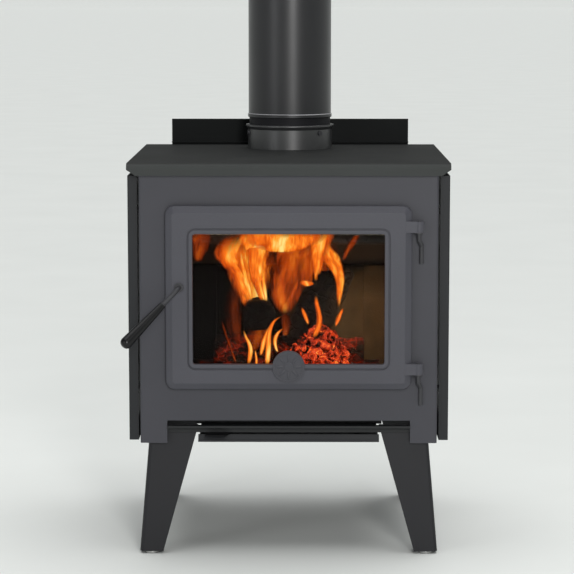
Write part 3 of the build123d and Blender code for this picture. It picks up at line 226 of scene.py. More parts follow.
def place_of(tree, stretch=(1.0, 1.0, 1.0), centre=(0.0, 0.0, 0.0)):
    """Object coordinates, moved to a centre and stretched."""
    coordinates = tree.nodes.new("ShaderNodeTexCoord").outputs["Object"]
    shift = [-c * s for c, s in zip(centre, stretch)]
    return add(tree, "Mapping", Vector=coordinates, Scale=stretch, Location=shift).outputs[0]


def noise(tree, vector, scale, detail=2.0, roughness=0.5, distortion=0.0):
    return add(
        tree,
        "TexNoise",
        Vector=vector,
        Scale=scale,
        Detail=detail,
        Roughness=roughness,
        Distortion=distortion,
    ).outputs[0]


def new_group(name, inputs, outputs):
    """An empty shader node group, with its sockets; returns its tree, input node and output node."""
    tree = bpy.data.node_groups.new(name, "ShaderNodeTree")
    kinds = {"colour": "NodeSocketColor", "value": "NodeSocketFloat", "vector": "NodeSocketVector"}
    for label, kind in inputs:
        tree.interface.new_socket(label, in_out="INPUT", socket_type=kinds[kind])
    for label, kind in outputs:
        tree.interface.new_socket(label, in_out="OUTPUT", socket_type=kinds[kind])
    return tree, tree.nodes.new("NodeGroupInput"), tree.nodes.new("NodeGroupOutput")


def use(tree, group, **inputs):
    made = tree.nodes.new("ShaderNodeGroup")
    made.node_tree = group
    for name, value in inputs.items():
        plug(tree, made.inputs[name.replace("_", " ")], value)
    return made.outputs


def once(name, build):
    """The node group of that name, built the first time it is asked for."""
    return bpy.data.node_groups.get(name) or build(name)


def toned(colour, factor):
    return tuple(min(1.0, c * factor) for c in colour)


def build_paint(name):
    """Sprayed heat paint: a fine grain, soft clouds of tone and a slightly uneven gloss."""
    tree, given, result = new_group(
        name,
        [("Paint", "colour"), ("Cloud", "value"), ("Grain", "value"), ("Dullness", "value")],
        [("Colour", "colour"), ("Roughness", "value"), ("Height", "value")],
    )
    place = place_of(tree)
    grain = noise(tree, place, given.outputs["Grain"], detail=3.0, roughness=0.6)
    cloud = noise(tree, place, 7.0, detail=3.0, roughness=0.55)
    fine = swing(tree, grain, 0.35)
    wide = swing(tree, cloud, given.outputs["Cloud"])
    tone = plus(tree, plus(tree, fine, wide), 1.0)
    grey = add(tree, "CombineColor", Red=tone, Green=tone, Blue=tone).outputs[0]
    plug(tree, result.inputs["Colour"], blend(tree, 1.0, given.outputs["Paint"], grey, "MULTIPLY"))
    uneven = swing(tree, cloud, 0.16)
    plug(tree, result.inputs["Roughness"], plus(tree, given.outputs["Dullness"], uneven, clamp=True))
    plug(tree, result.inputs["Height"], grain)
    return tree


def build_edge_wear_and_highlight(name):
    """A mask that is 1 along the outside edges: partly wear, where hands and cloths rub the finish, and
    partly a painted highlight where the edges would catch the light.
    """
    tree, given, result = new_group(name, [("Amount", "value")], [("Mask", "value")])
    rounded = add(tree, "Bevel", {"samples": 4}, Radius=0.0016).outputs[0]
    straight = tree.nodes.new("ShaderNodeNewGeometry").outputs["Normal"]
    facing = add(tree, "VectorMath", {"operation": "DOT_PRODUCT"})
    plug(tree, facing.inputs[0], rounded)
    plug(tree, facing.inputs[1], straight)
    turned = spread_over(tree, facing.outputs["Value"], 0.995, 0.80)
    patchy = spread_over(tree, noise(tree, place_of(tree), 60.0, detail=4.0), 0.35, 0.65)
    mask = times(tree, times(tree, turned, patchy), given.outputs["Amount"], clamp=True)
    plug(tree, result.inputs["Mask"], mask)
    return tree


def build_dust(name):
    """A mask of fine dust and ash lying on what faces up."""
    tree, given, result = new_group(name, [("Amount", "value")], [("Mask", "value")])
    normal = tree.nodes.new("ShaderNodeNewGeometry").outputs["Normal"]
    up = add(tree, "SeparateXYZ", Vector=normal).outputs["Z"]
    flat = spread_over(tree, up, 0.55, 0.98)
    patchy = spread_over(tree, noise(tree, place_of(tree), 14.0, detail=6.0, roughness=0.65), 0.38, 0.72)
    mask = times(tree, times(tree, flat, patchy), given.outputs["Amount"], clamp=True)
    plug(tree, result.inputs["Mask"], mask)
    return tree


def build_soot_and_shade(name):
    """A mask of soot and painted shade: black on the left of the firebox as painted shade, thinning to the
    right, and soot heavier upwards and in patches.
    """
    tree, given, result = new_group(name, [("Amount", "value")], [("Mask", "value")])
    place = place_of(tree)
    apart = add(tree, "SeparateXYZ", Vector=place).outputs
    # Painted shade: the left of the firebox is darkened towards black.
    painted_shade_leftward = spread_over(tree, apart["X"], 0.10, -0.08)
    upward = spread_over(tree, apart["Z"], 0.43, 0.53, 0.0, 0.75)
    patchy = noise(tree, place, 11.0, detail=5.0, roughness=0.6)
    streak = noise(tree, place_of(tree, (34.0, 34.0, 5.0)), 1.0, detail=3.0)
    base = times(tree, maths(tree, "MAXIMUM", painted_shade_leftward, upward), 1.8)
    ragged = plus(tree, base, swing(tree, patchy, 0.9))
    ragged = plus(tree, ragged, swing(tree, streak, 0.5))
    plug(tree, result.inputs["Mask"], times(tree, ragged, given.outputs["Amount"], clamp=True))
    return tree


def build_fibre(name):
    """Spun fibre: fine crossing threads, as a height and a tone."""
    tree, given, result = new_group(name, [("Scale", "value")], [("Height", "value"), ("Tone", "value")])
    place = place_of(tree)
    along = add(tree, "VectorMath", {"operation": "MULTIPLY"})
    plug(tree, along.inputs[0], place)
    plug(tree, along.inputs[1], (1.0, 0.18, 1.0))
    across = add(tree, "VectorMath", {"operation": "MULTIPLY"})
    plug(tree, across.inputs[0], place)
    plug(tree, across.inputs[1], (0.18, 1.0, 1.0))
    first = noise(tree, along.outputs[0], given.outputs["Scale"], detail=4.0, distortion=0.6)
    second = noise(tree, across.outputs[0], given.outputs["Scale"], detail=4.0, distortion=0.6)
    both = maths(tree, "MAXIMUM", first, second)
    plug(tree, result.inputs["Height"], both)
    plug(tree, result.inputs["Tone"], spread_over(tree, both, 0.35, 0.75, 0.6, 1.1))
    return tree


def build_glow(name):
    """Burning char: where it glows, and how hot, from cracks and broad hot patches."""
    tree, given, result = new_group(
        name,
        [("Cell", "value"), ("Heat", "value"), ("Patch", "value"), ("Veins", "value")],
        [("Glow", "value"), ("Crack", "value"), ("Height", "value")],
    )
    place = place_of(tree)
    bent = add(tree, "VectorMath", {"operation": "ADD"})
    wander = noise(tree, place, 30.0, detail=3.0)
    plug(tree, bent.inputs[0], place)
    plug(tree, bent.inputs[1], add(tree, "VectorMath", {"operation": "SCALE"}, Scale=0.012).outputs[0])
    pushed = add(tree, "CombineXYZ", X=wander, Y=wander, Z=wander).outputs[0]
    plug(tree, bent.inputs[1].links[0].from_node.inputs[0], pushed)
    cells = add(
        tree,
        "TexVoronoi",
        {"feature": "DISTANCE_TO_EDGE"},
        Vector=bent.outputs[0],
        Scale=given.outputs["Cell"],
    ).outputs[0]
    crack = spread_over(tree, cells, 0.14, 0.0)
    patch = noise(tree, place, given.outputs["Patch"], detail=6.0, roughness=0.65)
    heat = times(tree, spread_over(tree, patch, 0.40, 0.68), given.outputs["Heat"])
    veins = times(tree, times(tree, crack, heat), given.outputs["Veins"])
    glow = plus(tree, veins, times(tree, heat, 0.6), clamp=True)
    plug(tree, result.inputs["Glow"], glow)
    plug(tree, result.inputs["Crack"], crack)
    plug(tree, result.inputs["Height"], maths(tree, "SUBTRACT", 1.0, crack))
    return tree


# ---- materials ----
def new_material(name):
    """A material with only its output and a Principled shader; returns it, its tree and the shader."""
    material = bpy.data.materials.new(name)
    material.use_nodes = True
    tree = material.node_tree
    shader = tree.nodes["Principled BSDF"]
    return material, tree, shader


def set_bump(tree, shader, height, strength, distance):
    bump = add(tree, "Bump", Height=height, Strength=strength, Distance=distance)
    plug(tree, shader.inputs["Normal"], bump.outputs[0])


def sprayed(tree, paint, cloud, grain, dullness):
    group = once("Sprayed Paint", build_paint)
    return use(tree, group, Paint=paint, Cloud=cloud, Grain=grain, Dullness=dullness)


def heat_paint(name, paint, dullness, grain=900.0, cloud=0.22, edge_wear_and_highlight=0.30, dust=0.0, shine=0.28, painted_top_shade=0.0):
    """Satin heat paint over steel or iron, lightened at its edges as wear and painted highlight, dusty, and
    painted darker where it faces up as painted shade.
    """
    material, tree, shader = new_material(name)
    coat = sprayed(tree, paint, cloud, grain, dullness)
    worn_and_highlit_edges = use(tree, once("Edge Wear And Highlight", build_edge_wear_and_highlight), Amount=edge_wear_and_highlight)["Mask"]
    lying = use(tree, once("Dust", build_dust), Amount=dust)["Mask"]
    normal = tree.nodes.new("ShaderNodeNewGeometry").outputs["Normal"]
    # Painted shade: faces that look up are darkened by the given amount.
    upward = spread_over(tree, add(tree, "SeparateXYZ", Vector=normal).outputs["Z"], 0.6, 0.98, 0.0, painted_top_shade)
    skin = blend(tree, upward, coat["Colour"], toned(paint, 0.3))
    # Lighter along the edges: part wear, part painted highlight.
    with_worn_and_highlit_edges = blend(tree, worn_and_highlit_edges, skin, tuple(min(1.0, c * 2.6 + 0.02) for c in paint))
    colour = blend(tree, lying, with_worn_and_highlit_edges, (0.30, 0.29, 0.27))
    plug(tree, shader.inputs["Base Color"], colour)
    dusty = times(tree, lying, 0.4)
    plug(tree, shader.inputs["Roughness"], plus(tree, coat["Roughness"], dusty, clamp=True))
    shader.inputs["Specular IOR Level"].default_value = shine
    set_bump(tree, shader, coat["Height"], 0.10, 0.0004)
    return material


def cast_paint(name, paint, dullness, shine=0.28):
    """Heat paint over sand-cast iron, with the sand's coarser skin below the grain."""
    material, tree, shader = new_material(name)
    coat = sprayed(tree, paint, 0.20, 750.0, dullness)
    worn_and_highlit_edges = use(tree, once("Edge Wear And Highlight", build_edge_wear_and_highlight), Amount=0.35)["Mask"]
    # Lighter along the edges: part wear, part painted highlight.
    plug(tree, shader.inputs["Base Color"], blend(tree, worn_and_highlit_edges, coat["Colour"], toned(paint, 2.2)))
    plug(tree, shader.inputs["Roughness"], coat["Roughness"])
    shader.inputs["Specular IOR Level"].default_value = shine
    sand = noise(tree, place_of(tree), 260.0, detail=3.0, roughness=0.6)
    skin = plus(tree, times(tree, sand, 0.7), times(tree, coat["Height"], 0.3))
    set_bump(tree, shader, skin, 0.16, 0.0006)
    return material


def paint_bead_highlight(material, foot):
    """Paints a highlight on the rolled bead at a pipe's foot: lighter and smoother where it faces up."""
    tree = material.node_tree
    shader = tree.nodes["Principled BSDF"]
    height = add(tree, "SeparateXYZ", Vector=place_of(tree)).outputs["Z"]
    low = spread_over(tree, height, foot + 0.014, foot + 0.010)
    facing = tree.nodes.new("ShaderNodeNewGeometry").outputs["Normal"]
    up = spread_over(tree, add(tree, "SeparateXYZ", Vector=facing).outputs["Z"], 0.10, 0.45)
    # Painted highlight: a pale colour and a smoother finish on the bead's upward faces.
    bright = times(tree, low, up)
    for label, value in (("Base Color", (0.42, 0.42, 0.44)), ("Roughness", 0.28)):
        painted = shader.inputs[label].links[0].from_socket
        mixed = blend(tree, bright, painted, (value, value, value) if label == "Roughness" else value)
        plug(tree, shader.inputs[label], mixed)


def plated_steel(name, colour, dullness, speckle):
    """Bright plated or stainless steel with spangle and fine scratches."""
    material, tree, shader = new_material(name)
    place = place_of(tree)
    spangle = add(tree, "TexVoronoi", Vector=place, Scale=speckle).outputs["Color"]
    share = add(tree, "SeparateColor", Color=spangle).outputs[0]
    scratch = noise(tree, place_of(tree, (1.0, 1.0, 14.0)), 420.0, detail=3.0)
    plug(tree, shader.inputs["Base Color"], blend(tree, share, toned(colour, 0.82), colour))
    gloss = spread_over(tree, scratch, 0.2, 0.8, dullness - 0.08, dullness + 0.12)
    plug(tree, shader.inputs["Roughness"], gloss)
    shader.inputs["Metallic"].default_value = 1.0
    set_bump(tree, shader, scratch, 0.12, 0.0002)
    return material


def oiled_steel(name, colour, dullness, speckle):
    """Blackened round bar and turned steel: metallic, with a soft sheen and fine turning marks."""
    material, tree, shader = new_material(name)
    coat = sprayed(tree, colour, 0.3, speckle, dullness)
    worn_and_highlit_edges = use(tree, once("Edge Wear And Highlight", build_edge_wear_and_highlight), Amount=0.5)["Mask"]
    # Lighter along the edges: part wear, part painted highlight.
    plug(tree, shader.inputs["Base Color"], blend(tree, worn_and_highlit_edges, coat["Colour"], (0.18, 0.18, 0.19)))
    plug(tree, shader.inputs["Roughness"], coat["Roughness"])
    shader.inputs["Metallic"].default_value = 0.15
    shader.inputs["Specular IOR Level"].default_value = 0.3
    set_bump(tree, shader, coat["Height"], 0.10, 0.0003)
    return material


def firebrick(name, clean):
    """Pressed firebrick: sandy, pitted, burnt paler and darker from place to place, and sooted, with painted
    shade blackening the left of the firebox.
    """
    material, tree, shader = new_material(name)
    place = place_of(tree)
    sand = noise(tree, place, 700.0, detail=3.0, roughness=0.7)
    mottle = noise(tree, place, 16.0, detail=5.0, roughness=0.6)
    pit = add(tree, "TexVoronoi", Vector=place, Scale=160.0).outputs["Distance"]
    pits = spread_over(tree, pit, 0.05, 0.22)
    tone = ramp(
        tree,
        mottle,
        [(0.25, toned(clean, 0.55)), (0.55, clean), (0.80, toned(clean, 1.5))],
    )
    grainy = blend(tree, spread_over(tree, sand, 0.3, 0.7, 0.0, 0.35), tone, toned(clean, 0.45))
    soot_and_shade = use(tree, once("Soot And Shade", build_soot_and_shade), Amount=1.0)["Mask"]
    # Soot and painted shade darken the brick towards black.
    plug(tree, shader.inputs["Base Color"], blend(tree, soot_and_shade, grainy, (0.003, 0.003, 0.003)))
    plug(tree, shader.inputs["Roughness"], spread_over(tree, mottle, 0.3, 0.7, 0.95, 0.82))
    shader.inputs["Specular IOR Level"].default_value = 0.06
    height = times(tree, plus(tree, times(tree, sand, 0.5), 0.5), pits)
    set_bump(tree, shader, height, 0.45, 0.0012)
    return material


def pressed_board(name, colour):
    """Vermiculite board: pale flakes pressed flat, some glinting, scorched dark in patches."""
    material, tree, shader = new_material(name)
    place = place_of(tree, (1.0, 1.0, 3.0))
    flake = add(tree, "TexVoronoi", Vector=place, Scale=230.0).outputs
    tint = add(tree, "SeparateColor", Color=flake["Color"]).outputs[0]
    gold = blend(tree, tint, toned(colour, 0.7), toned(colour, 1.25))
    scorch = spread_over(tree, noise(tree, place_of(tree), 9.0, detail=5.0), 0.35, 0.65, 0.1, 0.85)
    plug(tree, shader.inputs["Base Color"], blend(tree, scorch, gold, (0.030, 0.027, 0.024)))
    plug(tree, shader.inputs["Roughness"], spread_over(tree, tint, 0.0, 1.0, 0.95, 0.6))
    set_bump(tree, shader, flake["Distance"], 0.5, 0.0012)
    return material


def spun_fibre(name, colour, scale, bump, dullness=0.95):
    """Rope, tape or blanket of spun fibre."""
    material, tree, shader = new_material(name)
    thread = use(tree, once("Spun Fibre", build_fibre), Scale=scale)
    tone = add(tree, "CombineColor", Red=thread["Tone"], Green=thread["Tone"], Blue=thread["Tone"]).outputs[0]
    plug(tree, shader.inputs["Base Color"], blend(tree, 1.0, colour, tone, "MULTIPLY"))
    plug(tree, shader.inputs["Roughness"], spread_over(tree, thread["Height"], 0.3, 0.8, 1.0, dullness - 0.1))
    shader.inputs["Sheen Weight"].default_value = 0.25
    set_bump(tree, shader, thread["Height"], bump, 0.0010)
    return material


def ceramic_glass(name):
    """Clear ceramic glass that lets the lamps through, faintly smoked and faintly hazed in patches."""
    material, tree, shader = new_material(name)
    haze = noise(tree, place_of(tree), 9.0, detail=4.0)
    shader.inputs["Base Color"].default_value = (0.93, 0.90, 0.84, 1.0)
    shader.inputs["Transmission Weight"].default_value = 1.0
    shader.inputs["IOR"].default_value = 1.10
    plug(tree, shader.inputs["Roughness"], spread_over(tree, haze, 0.55, 0.85, 0.0, 0.02))
    clear = add(tree, "BsdfTransparent", Color=(0.10, 0.09, 0.08))
    mixed = tree.nodes.new("ShaderNodeMixShader")
    plug(tree, mixed.inputs[0], tree.nodes.new("ShaderNodeLightPath").outputs["Is Shadow Ray"])
    plug(tree, mixed.inputs[1], shader.outputs[0])
    plug(tree, mixed.inputs[2], clear.outputs[0])
    plug(tree, tree.nodes["Material Output"].inputs["Surface"], mixed.outputs[0])
    return material


def burning_wood(name, cell, heat, strength, patch=22.0, veins=1.0):
    """Charred wood: black scales, grey ash on the ridges and a glow in the cracks."""
    material, tree, shader = new_material(name)
    fire = use(tree, once("Burning Char", build_glow), Cell=cell, Heat=heat, Patch=patch, Veins=veins)
    bark = noise(tree, place_of(tree), 70.0, detail=6.0, roughness=0.7)
    char = ramp(
        tree,
        bark,
        [(0.30, (0.003, 0.0025, 0.0025)), (0.55, (0.010, 0.009, 0.008)), (0.74, (0.030, 0.026, 0.023))],
    )
    plug(tree, shader.inputs["Base Color"], blend(tree, fire["Crack"], char, (0.004, 0.003, 0.003)))
    plug(tree, shader.inputs["Roughness"], spread_over(tree, bark, 0.3, 0.7, 0.8, 1.0))
    shader.inputs["Specular IOR Level"].default_value = 0.06
    hot = ramp(
        tree,
        fire["Glow"],
        [
            (0.05, (0.0, 0.0, 0.0)),
            (0.22, (0.15, 0.010, 0.003)),
            (0.50, (0.56, 0.035, 0.009)),
            (0.75, (0.95, 0.10, 0.018)),
            (1.0, (1.0, 0.42, 0.075)),
        ],
    )
    plug(tree, shader.inputs["Emission Color"], hot)
    shader.inputs["Emission Strength"].default_value = strength
    height = plus(tree, fire["Height"], times(tree, bark, 0.8))
    set_bump(tree, shader, height, 0.7, 0.003)
    return material


def flame_gas(name, strength):
    """Flame: see-through at its edges, tip and foot, hottest along one line, and streaked along its flow."""
    material, tree, shader = new_material(name)
    core, hot, rise, haze = (
        add(tree, "Attribute", {"attribute_name": label}).outputs["Fac"]
        for label in ("core", "hot", "rise", "haze")
    )
    flow = add(tree, "Attribute", {"attribute_name": "flow"}).outputs["Vector"]
    drawn = add(tree, "Mapping", Vector=flow, Scale=(150.0, 20.0, 30.0)).outputs[0]
    streak = noise(tree, drawn, 1.0, detail=4.0, roughness=0.6, distortion=0.9)
    curled = add(tree, "Mapping", Vector=flow, Scale=(48.0, 13.0, 20.0)).outputs[0]
    swirl = noise(tree, curled, 1.0)
    apart = swing(tree, streak, 1.1)
    wide = swing(tree, swirl, 1.3)
    uneven = plus(tree, apart, wide)
    warm = plus(tree, times(tree, hot, 0.42), 0.40)
    glow = plus(tree, warm, times(tree, uneven, 0.62), clamp=True)
    plug(tree, shader.inputs["Emission Color"], ramp(tree, glow, FLAME_STOPS))
    shader.inputs["Emission Strength"].default_value = strength
    shader.inputs["Base Color"].default_value = (0.0, 0.0, 0.0, 1.0)
    shader.inputs["Specular IOR Level"].default_value = 0.0
    shader.inputs["Roughness"].default_value = 1.0
    body = plus(tree, core, times(tree, uneven, 0.55))
    soft = spread_over(tree, body, 0.14, 0.62)
    frayed = plus(tree, rise, times(tree, uneven, 0.22))
    ends = times(tree, spread_over(tree, rise, 1.0, 0.92), spread_over(tree, rise, 0.0, 0.06))
    ragged = times(tree, spread_over(tree, frayed, 1.0, 0.80), spread_over(tree, frayed, 0.0, 0.14))
    seen = times(tree, times(tree, soft, ends), ragged)
    seen = times(tree, seen, haze, clamp=True)
    plug(tree, shader.inputs["Alpha"], seen)
    return material


def dress(node_names, material):
    """Gives carried-over CAD nodes a material, in every slot they have."""
    for name in node_names:
        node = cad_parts[name]
        for slot in node.material_slots:
            slot.material = material


# ---- mesh helpers ----
def fresh(operator, **settings):
    """Adds a primitive as a new object with nothing else selected, and returns it."""
    if bpy.context.mode != "OBJECT":
        bpy.ops.object.mode_set(mode="OBJECT")
    bpy.ops.object.select_all(action="DESELECT")
    operator(**settings)
    return bpy.context.active_object


def pick(piece):
    """Makes one object the only selected and active one."""
    if bpy.context.mode != "OBJECT":
        bpy.ops.object.mode_set(mode="OBJECT")
    bpy.ops.object.select_all(action="DESELECT")
    piece.select_set(True)
    bpy.context.view_layer.objects.active = piece


def edit(piece):
    pick(piece)
    bpy.ops.object.mode_set(mode="EDIT")
    bpy.ops.mesh.select_all(action="SELECT")


def settle(piece):
    """Applies a piece's own place, turn and size, so that its object sits at the origin."""
    pick(piece)
    bpy.ops.object.transform_apply(location=True, rotation=True, scale=True)


def modify(piece, kind, **settings):
    """Adds a modifier and applies it."""
    pick(piece)
    made = piece.modifiers.new(kind.title(), kind)
    for name, value in settings.items():
        setattr(made, name, value)
    bpy.ops.object.modifier_apply(modifier=made.name)


def subdivide(piece, levels):
    modify(piece, "SUBSURF", levels=levels, render_levels=levels)


def rough_up(piece, size, amount):
    """Pushes a surface in and out by a cloudy noise of that size."""
    cloud = bpy.data.textures.new(piece.name + "_cloud", "CLOUDS")
    cloud.noise_scale = size
    cloud.noise_depth = 2
    modify(piece, "DISPLACE", texture=cloud, texture_coords="LOCAL", strength=amount, mid_level=0.5)
    bpy.data.textures.remove(cloud)


def close_and_face_out(piece, gap=0.00005):
    edit(piece)
    bpy.ops.mesh.remove_doubles(threshold=gap)
    bpy.ops.mesh.normals_make_consistent(inside=False)
    bpy.ops.object.mode_set(mode="OBJECT")


def finish_piece(piece, name, material, body, smooth_angle=math.radians(60)):
    """Names a piece, settles it, gives it its material and lets it ride on a body."""
    piece.name = name
    piece.data.name = name
    settle(piece)
    piece.data.materials.clear()
    piece.data.materials.append(material)
    bpy.ops.object.shade_smooth_by_angle(angle=smooth_angle)
    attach(piece, body)
    return piece


def join(pieces):
    pick(pieces[0])
    for piece in pieces:
        piece.select_set(True)
    bpy.ops.object.join()
    return bpy.context.active_object


def copy_of(node_name):
    """A copy of a CAD node's mesh, with its loose triangles merged."""
    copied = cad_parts[node_name].copy()
    copied.data = copied.data.copy()
    copied.parent = None
    for key in list(copied.keys()):
        del copied[key]
    bpy.context.scene.collection.objects.link(copied)
    edit(copied)
    bpy.ops.mesh.remove_doubles(threshold=0.00002)
    bpy.ops.mesh.tris_convert_to_quads()
    bpy.ops.object.mode_set(mode="OBJECT")
    return copied


class Step:
    """A step of the work, which makes its pieces in the scene's colours and sizes."""

    def execute(self, context):
        self.make(context.scene.stove_colours, context.scene.stove_sizes)
        return {"FINISHED"}


class Chance:
    """A small seeded generator of numbers from 0 to 1."""

    def __init__(self, seed):
        self.state = seed

    def next(self):
        self.state = (self.state * 1103515245 + 12345) % 2147483648
        return self.state / 2147483648

    def between(self, low, high):
        return low + (high - low) * self.next()


# ---- operators: finishes of the carried-over nodes ----
class STOVE_OT_paint_casing(Step, bpy.types.Operator):
    """Paint the top plate, front plate, lip, legs and shields"""

    bl_idname = "stove.paint_casing"
    bl_label = "Paint Casing"

    def make(self, colours, sizes):
        dress(["front_plate"], heat_paint("casing_satin_paint", tuple(colours.casing), 0.46, edge_wear_and_highlight=0.25))
        # The legs' paint is darkened as painted shade.
        dress(LEG_NODES, heat_paint("leg_paint_with_painted_shade", tuple(colours.leg_with_painted_shade), 0.48, edge_wear_and_highlight=0.25))
        # The lip's paint is darkened as painted shade.
        dress(["ash_lip"], heat_paint("lip_paint_with_painted_shade", tuple(colours.lip), 0.48, edge_wear_and_highlight=0.25))
        # The top plate gets painted shade where it faces up, and its colour carries a painted reflection.
        top_look = {"edge_wear_and_highlight": 0.20, "dust": 0.02, "shine": 0.08, "painted_top_shade": 0.85}
        dress(["top_plate"], heat_paint("top_plate_paint_with_painted_shade_and_reflection", tuple(colours.top), 0.62, **top_look))
        shield = heat_paint("shield_satin_paint", tuple(colours.shield), 0.52, grain=1100.0, edge_wear_and_highlight=0.20)
        dress(SHIELD_NODES, shield)
        rear = heat_paint("rear_shield_satin_paint", tuple(colours.rear), 0.55, edge_wear_and_highlight=0.25, shine=0.10)
        dress(["rear_heat_shield"], rear)


class STOVE_OT_paint_door(Step, bpy.types.Operator):
    """Paint the cast door and its badge"""

    bl_idname = "stove.paint_door"
    bl_label = "Paint Door"

    def make(self, colours, sizes):
        dress(["door_casting"], cast_paint("door_cast_paint", tuple(colours.door), 0.48))
        badge = cast_paint("badge_cast_paint", tuple(colours.badge), 0.44)
        dress(["door_badge"], badge)


class STOVE_OT_finish_flue(Step, bpy.types.Operator):
    """Paint the flue pipe and collar and brighten the liner"""

    bl_idname = "stove.finish_flue"
    bl_label = "Finish Flue"

    def make(self, colours, sizes):
        pipe = heat_paint("pipe_satin_paint", tuple(colours.pipe), 0.36, grain=1300.0, cloud=0.15, shine=0.48)
        # The bead's highlight is painted into the pipe's colour.
        paint_bead_highlight(pipe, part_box("flue_pipe_shell")[0].z)
        dress(["flue_adapter"], heat_paint("adapter_satin_paint", tuple(colours.pipe), 0.50, shine=0.12))
        dress(["flue_pipe_shell"], pipe)
        dress(["flue_collar"], cast_paint("collar_cast_paint", tuple(colours.collar), 0.36, 0.90))
        dress(LINER_NODES, plated_steel("liner_stainless", tuple(colours.liner), 0.30, 120.0))


class STOVE_OT_finish_steelwork(Step, bpy.types.Operator):
    """Finish the hot steel, the plated fasteners, the hinge pins and the handle"""

    bl_idname = "stove.finish_steelwork"
    bl_label = "Finish Steelwork"

    def make(self, colours, sizes):
        hot = heat_paint("hot_bare_steel", tuple(colours.hot_steel), 0.62, grain=500.0, cloud=0.7, dust=0.35)
        dress(HOT_STEEL_NODES, hot)
        slide = heat_paint("slide_satin_paint", tuple(colours.slide), 0.50, edge_wear_and_highlight=0.15, shine=0.10)
        dress(["air_slide"], slide)
        dress(ZINC_NODES, plated_steel("zinc_plate", tuple(colours.zinc), 0.36, 340.0))
        dress(DARK_STEEL_NODES, oiled_steel("blackened_bar", tuple(colours.dark_steel), 0.38, 800.0))
        dress(["handle_grip"], oiled_steel("grip_lacquer", tuple(colours.grip), 0.30, 1500.0))


class STOVE_OT_finish_lining(Step, bpy.types.Operator):
    """Give the firebricks and the baffle board their grain, soot and painted shade"""

    bl_idname = "stove.finish_lining"
    bl_label = "Finish Lining"

    def make(self, colours, sizes):
        dress(BRICK_NODES, firebrick("sooted_and_shaded_firebrick", tuple(colours.brick)))
        dress(["baffle_board"], pressed_board("vermiculite_board", tuple(colours.board)))


class STOVE_OT_glaze_door(Step, bpy.types.Operator):
    """Give the door's pane its clear ceramic glass"""

    bl_idname = "stove.glaze_door"
    bl_label = "Glaze Door"

    def make(self, colours, sizes):
        dress(["door_glass"], ceramic_glass("clear_ceramic_glass"))


# ---- operators: soft parts and trim ----
def rounded_path(low, high, middle_y, radius):
    """A closed curve round an upright rectangle with round corners."""
    path = fresh(
        bpy.ops.mesh.primitive_plane_add,
        size=1.0,
        location=((low.x + high.x) / 2, middle_y, (low.z + high.z) / 2),
        rotation=(math.pi / 2, 0, 0),
    )
    path.scale = (high.x - low.x, high.z - low.z, 1.0)
    settle(path)
    edit(path)
    bpy.ops.mesh.bevel(offset=radius, segments=8, affect="VERTICES")
    bpy.ops.mesh.select_all(action="SELECT")
    bpy.ops.mesh.delete(type="ONLY_FACE")
    bpy.ops.object.mode_set(mode="OBJECT")
    bpy.ops.object.convert(target="CURVE")
    return bpy.context.active_object


def one_lay_of_rope(strand_radius, off_centre, lay, strands=3, steps=10):
    """One full turn of a laid rope along X, open at both ends so that lays join."""
    rope = None
    for index in range(strands):
        angle = 2 * math.pi * index / strands
        settings = dict(
            vertices=8,
            radius=strand_radius,
            location=(0, off_centre * math.cos(angle), off_centre * math.sin(angle)),
            rotation=(0, math.pi / 2, 0),
        )
        if rope is None:
            rope = fresh(bpy.ops.mesh.primitive_circle_add, **settings)
            settle(rope)
            edit(rope)
        else:
            bpy.ops.mesh.primitive_circle_add(**settings)
    bpy.ops.mesh.select_all(action="SELECT")
    for _ in range(steps):
        bpy.ops.mesh.extrude_edges_move(TRANSFORM_OT_translate={"value": (lay / steps, 0, 0)})
        bpy.ops.transform.rotate(value=2 * math.pi / steps, orient_axis="X", center_override=(0, 0, 0))
    bpy.ops.object.mode_set(mode="OBJECT")
    return rope


class STOVE_OT_lay_door_rope(Step, bpy.types.Operator):
    """Lay the knitted glass rope in its seat round the door's back"""

    bl_idname = "stove.lay_door_rope"
    bl_label = "Lay Door Rope"

    def make(self, colours, sizes):
        low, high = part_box("door_gasket")
        half = (high.y - low.y) / 2
        inset = Vector((half, 0, half))
        path = rounded_path(low + inset, high - inset, (low.y + high.y) / 2, 8 * MM)
        length = path.data.splines[0].calc_length()
        lays = round(length / sizes.rope_lay)
        lay = length / lays
        rope = one_lay_of_rope(sizes.strand, half - sizes.strand - 0.0001, lay)
        modify(
            rope,
            "ARRAY",
            count=lays,
            use_relative_offset=False,
            use_constant_offset=True,
            constant_offset_displace=(lay, 0, 0),
            use_merge_vertices=True,
            merge_threshold=0.0002,
        )
        modify(rope, "CURVE", object=path, deform_axis="POS_X")
        close_and_face_out(rope, 0.0003)
        bpy.data.objects.remove(path)
        material = spun_fibre("knitted_glass_rope", tuple(colours.rope), 1400.0, 0.8)
        finish_piece(rope, "door_rope", material, "door")
        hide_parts("door_gasket")


class STOVE_OT_wrap_glass_tape(Step, bpy.types.Operator):
    """Wrap the woven tape round the edge of the glass"""

    bl_idname = "stove.wrap_glass_tape"
    bl_label = "Wrap Glass Tape"

    def make(self, colours, sizes):
        tape = copy_of("glass_gasket")
        modify(tape, "BEVEL", width=0.0003, segments=2, limit_method="ANGLE", angle_limit=math.radians(40))
        material = spun_fibre("woven_glass_tape", tuple(colours.rope), 1800.0, 0.5)
        finish_piece(tape, "glass_tape", material, "door")
        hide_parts("glass_gasket")


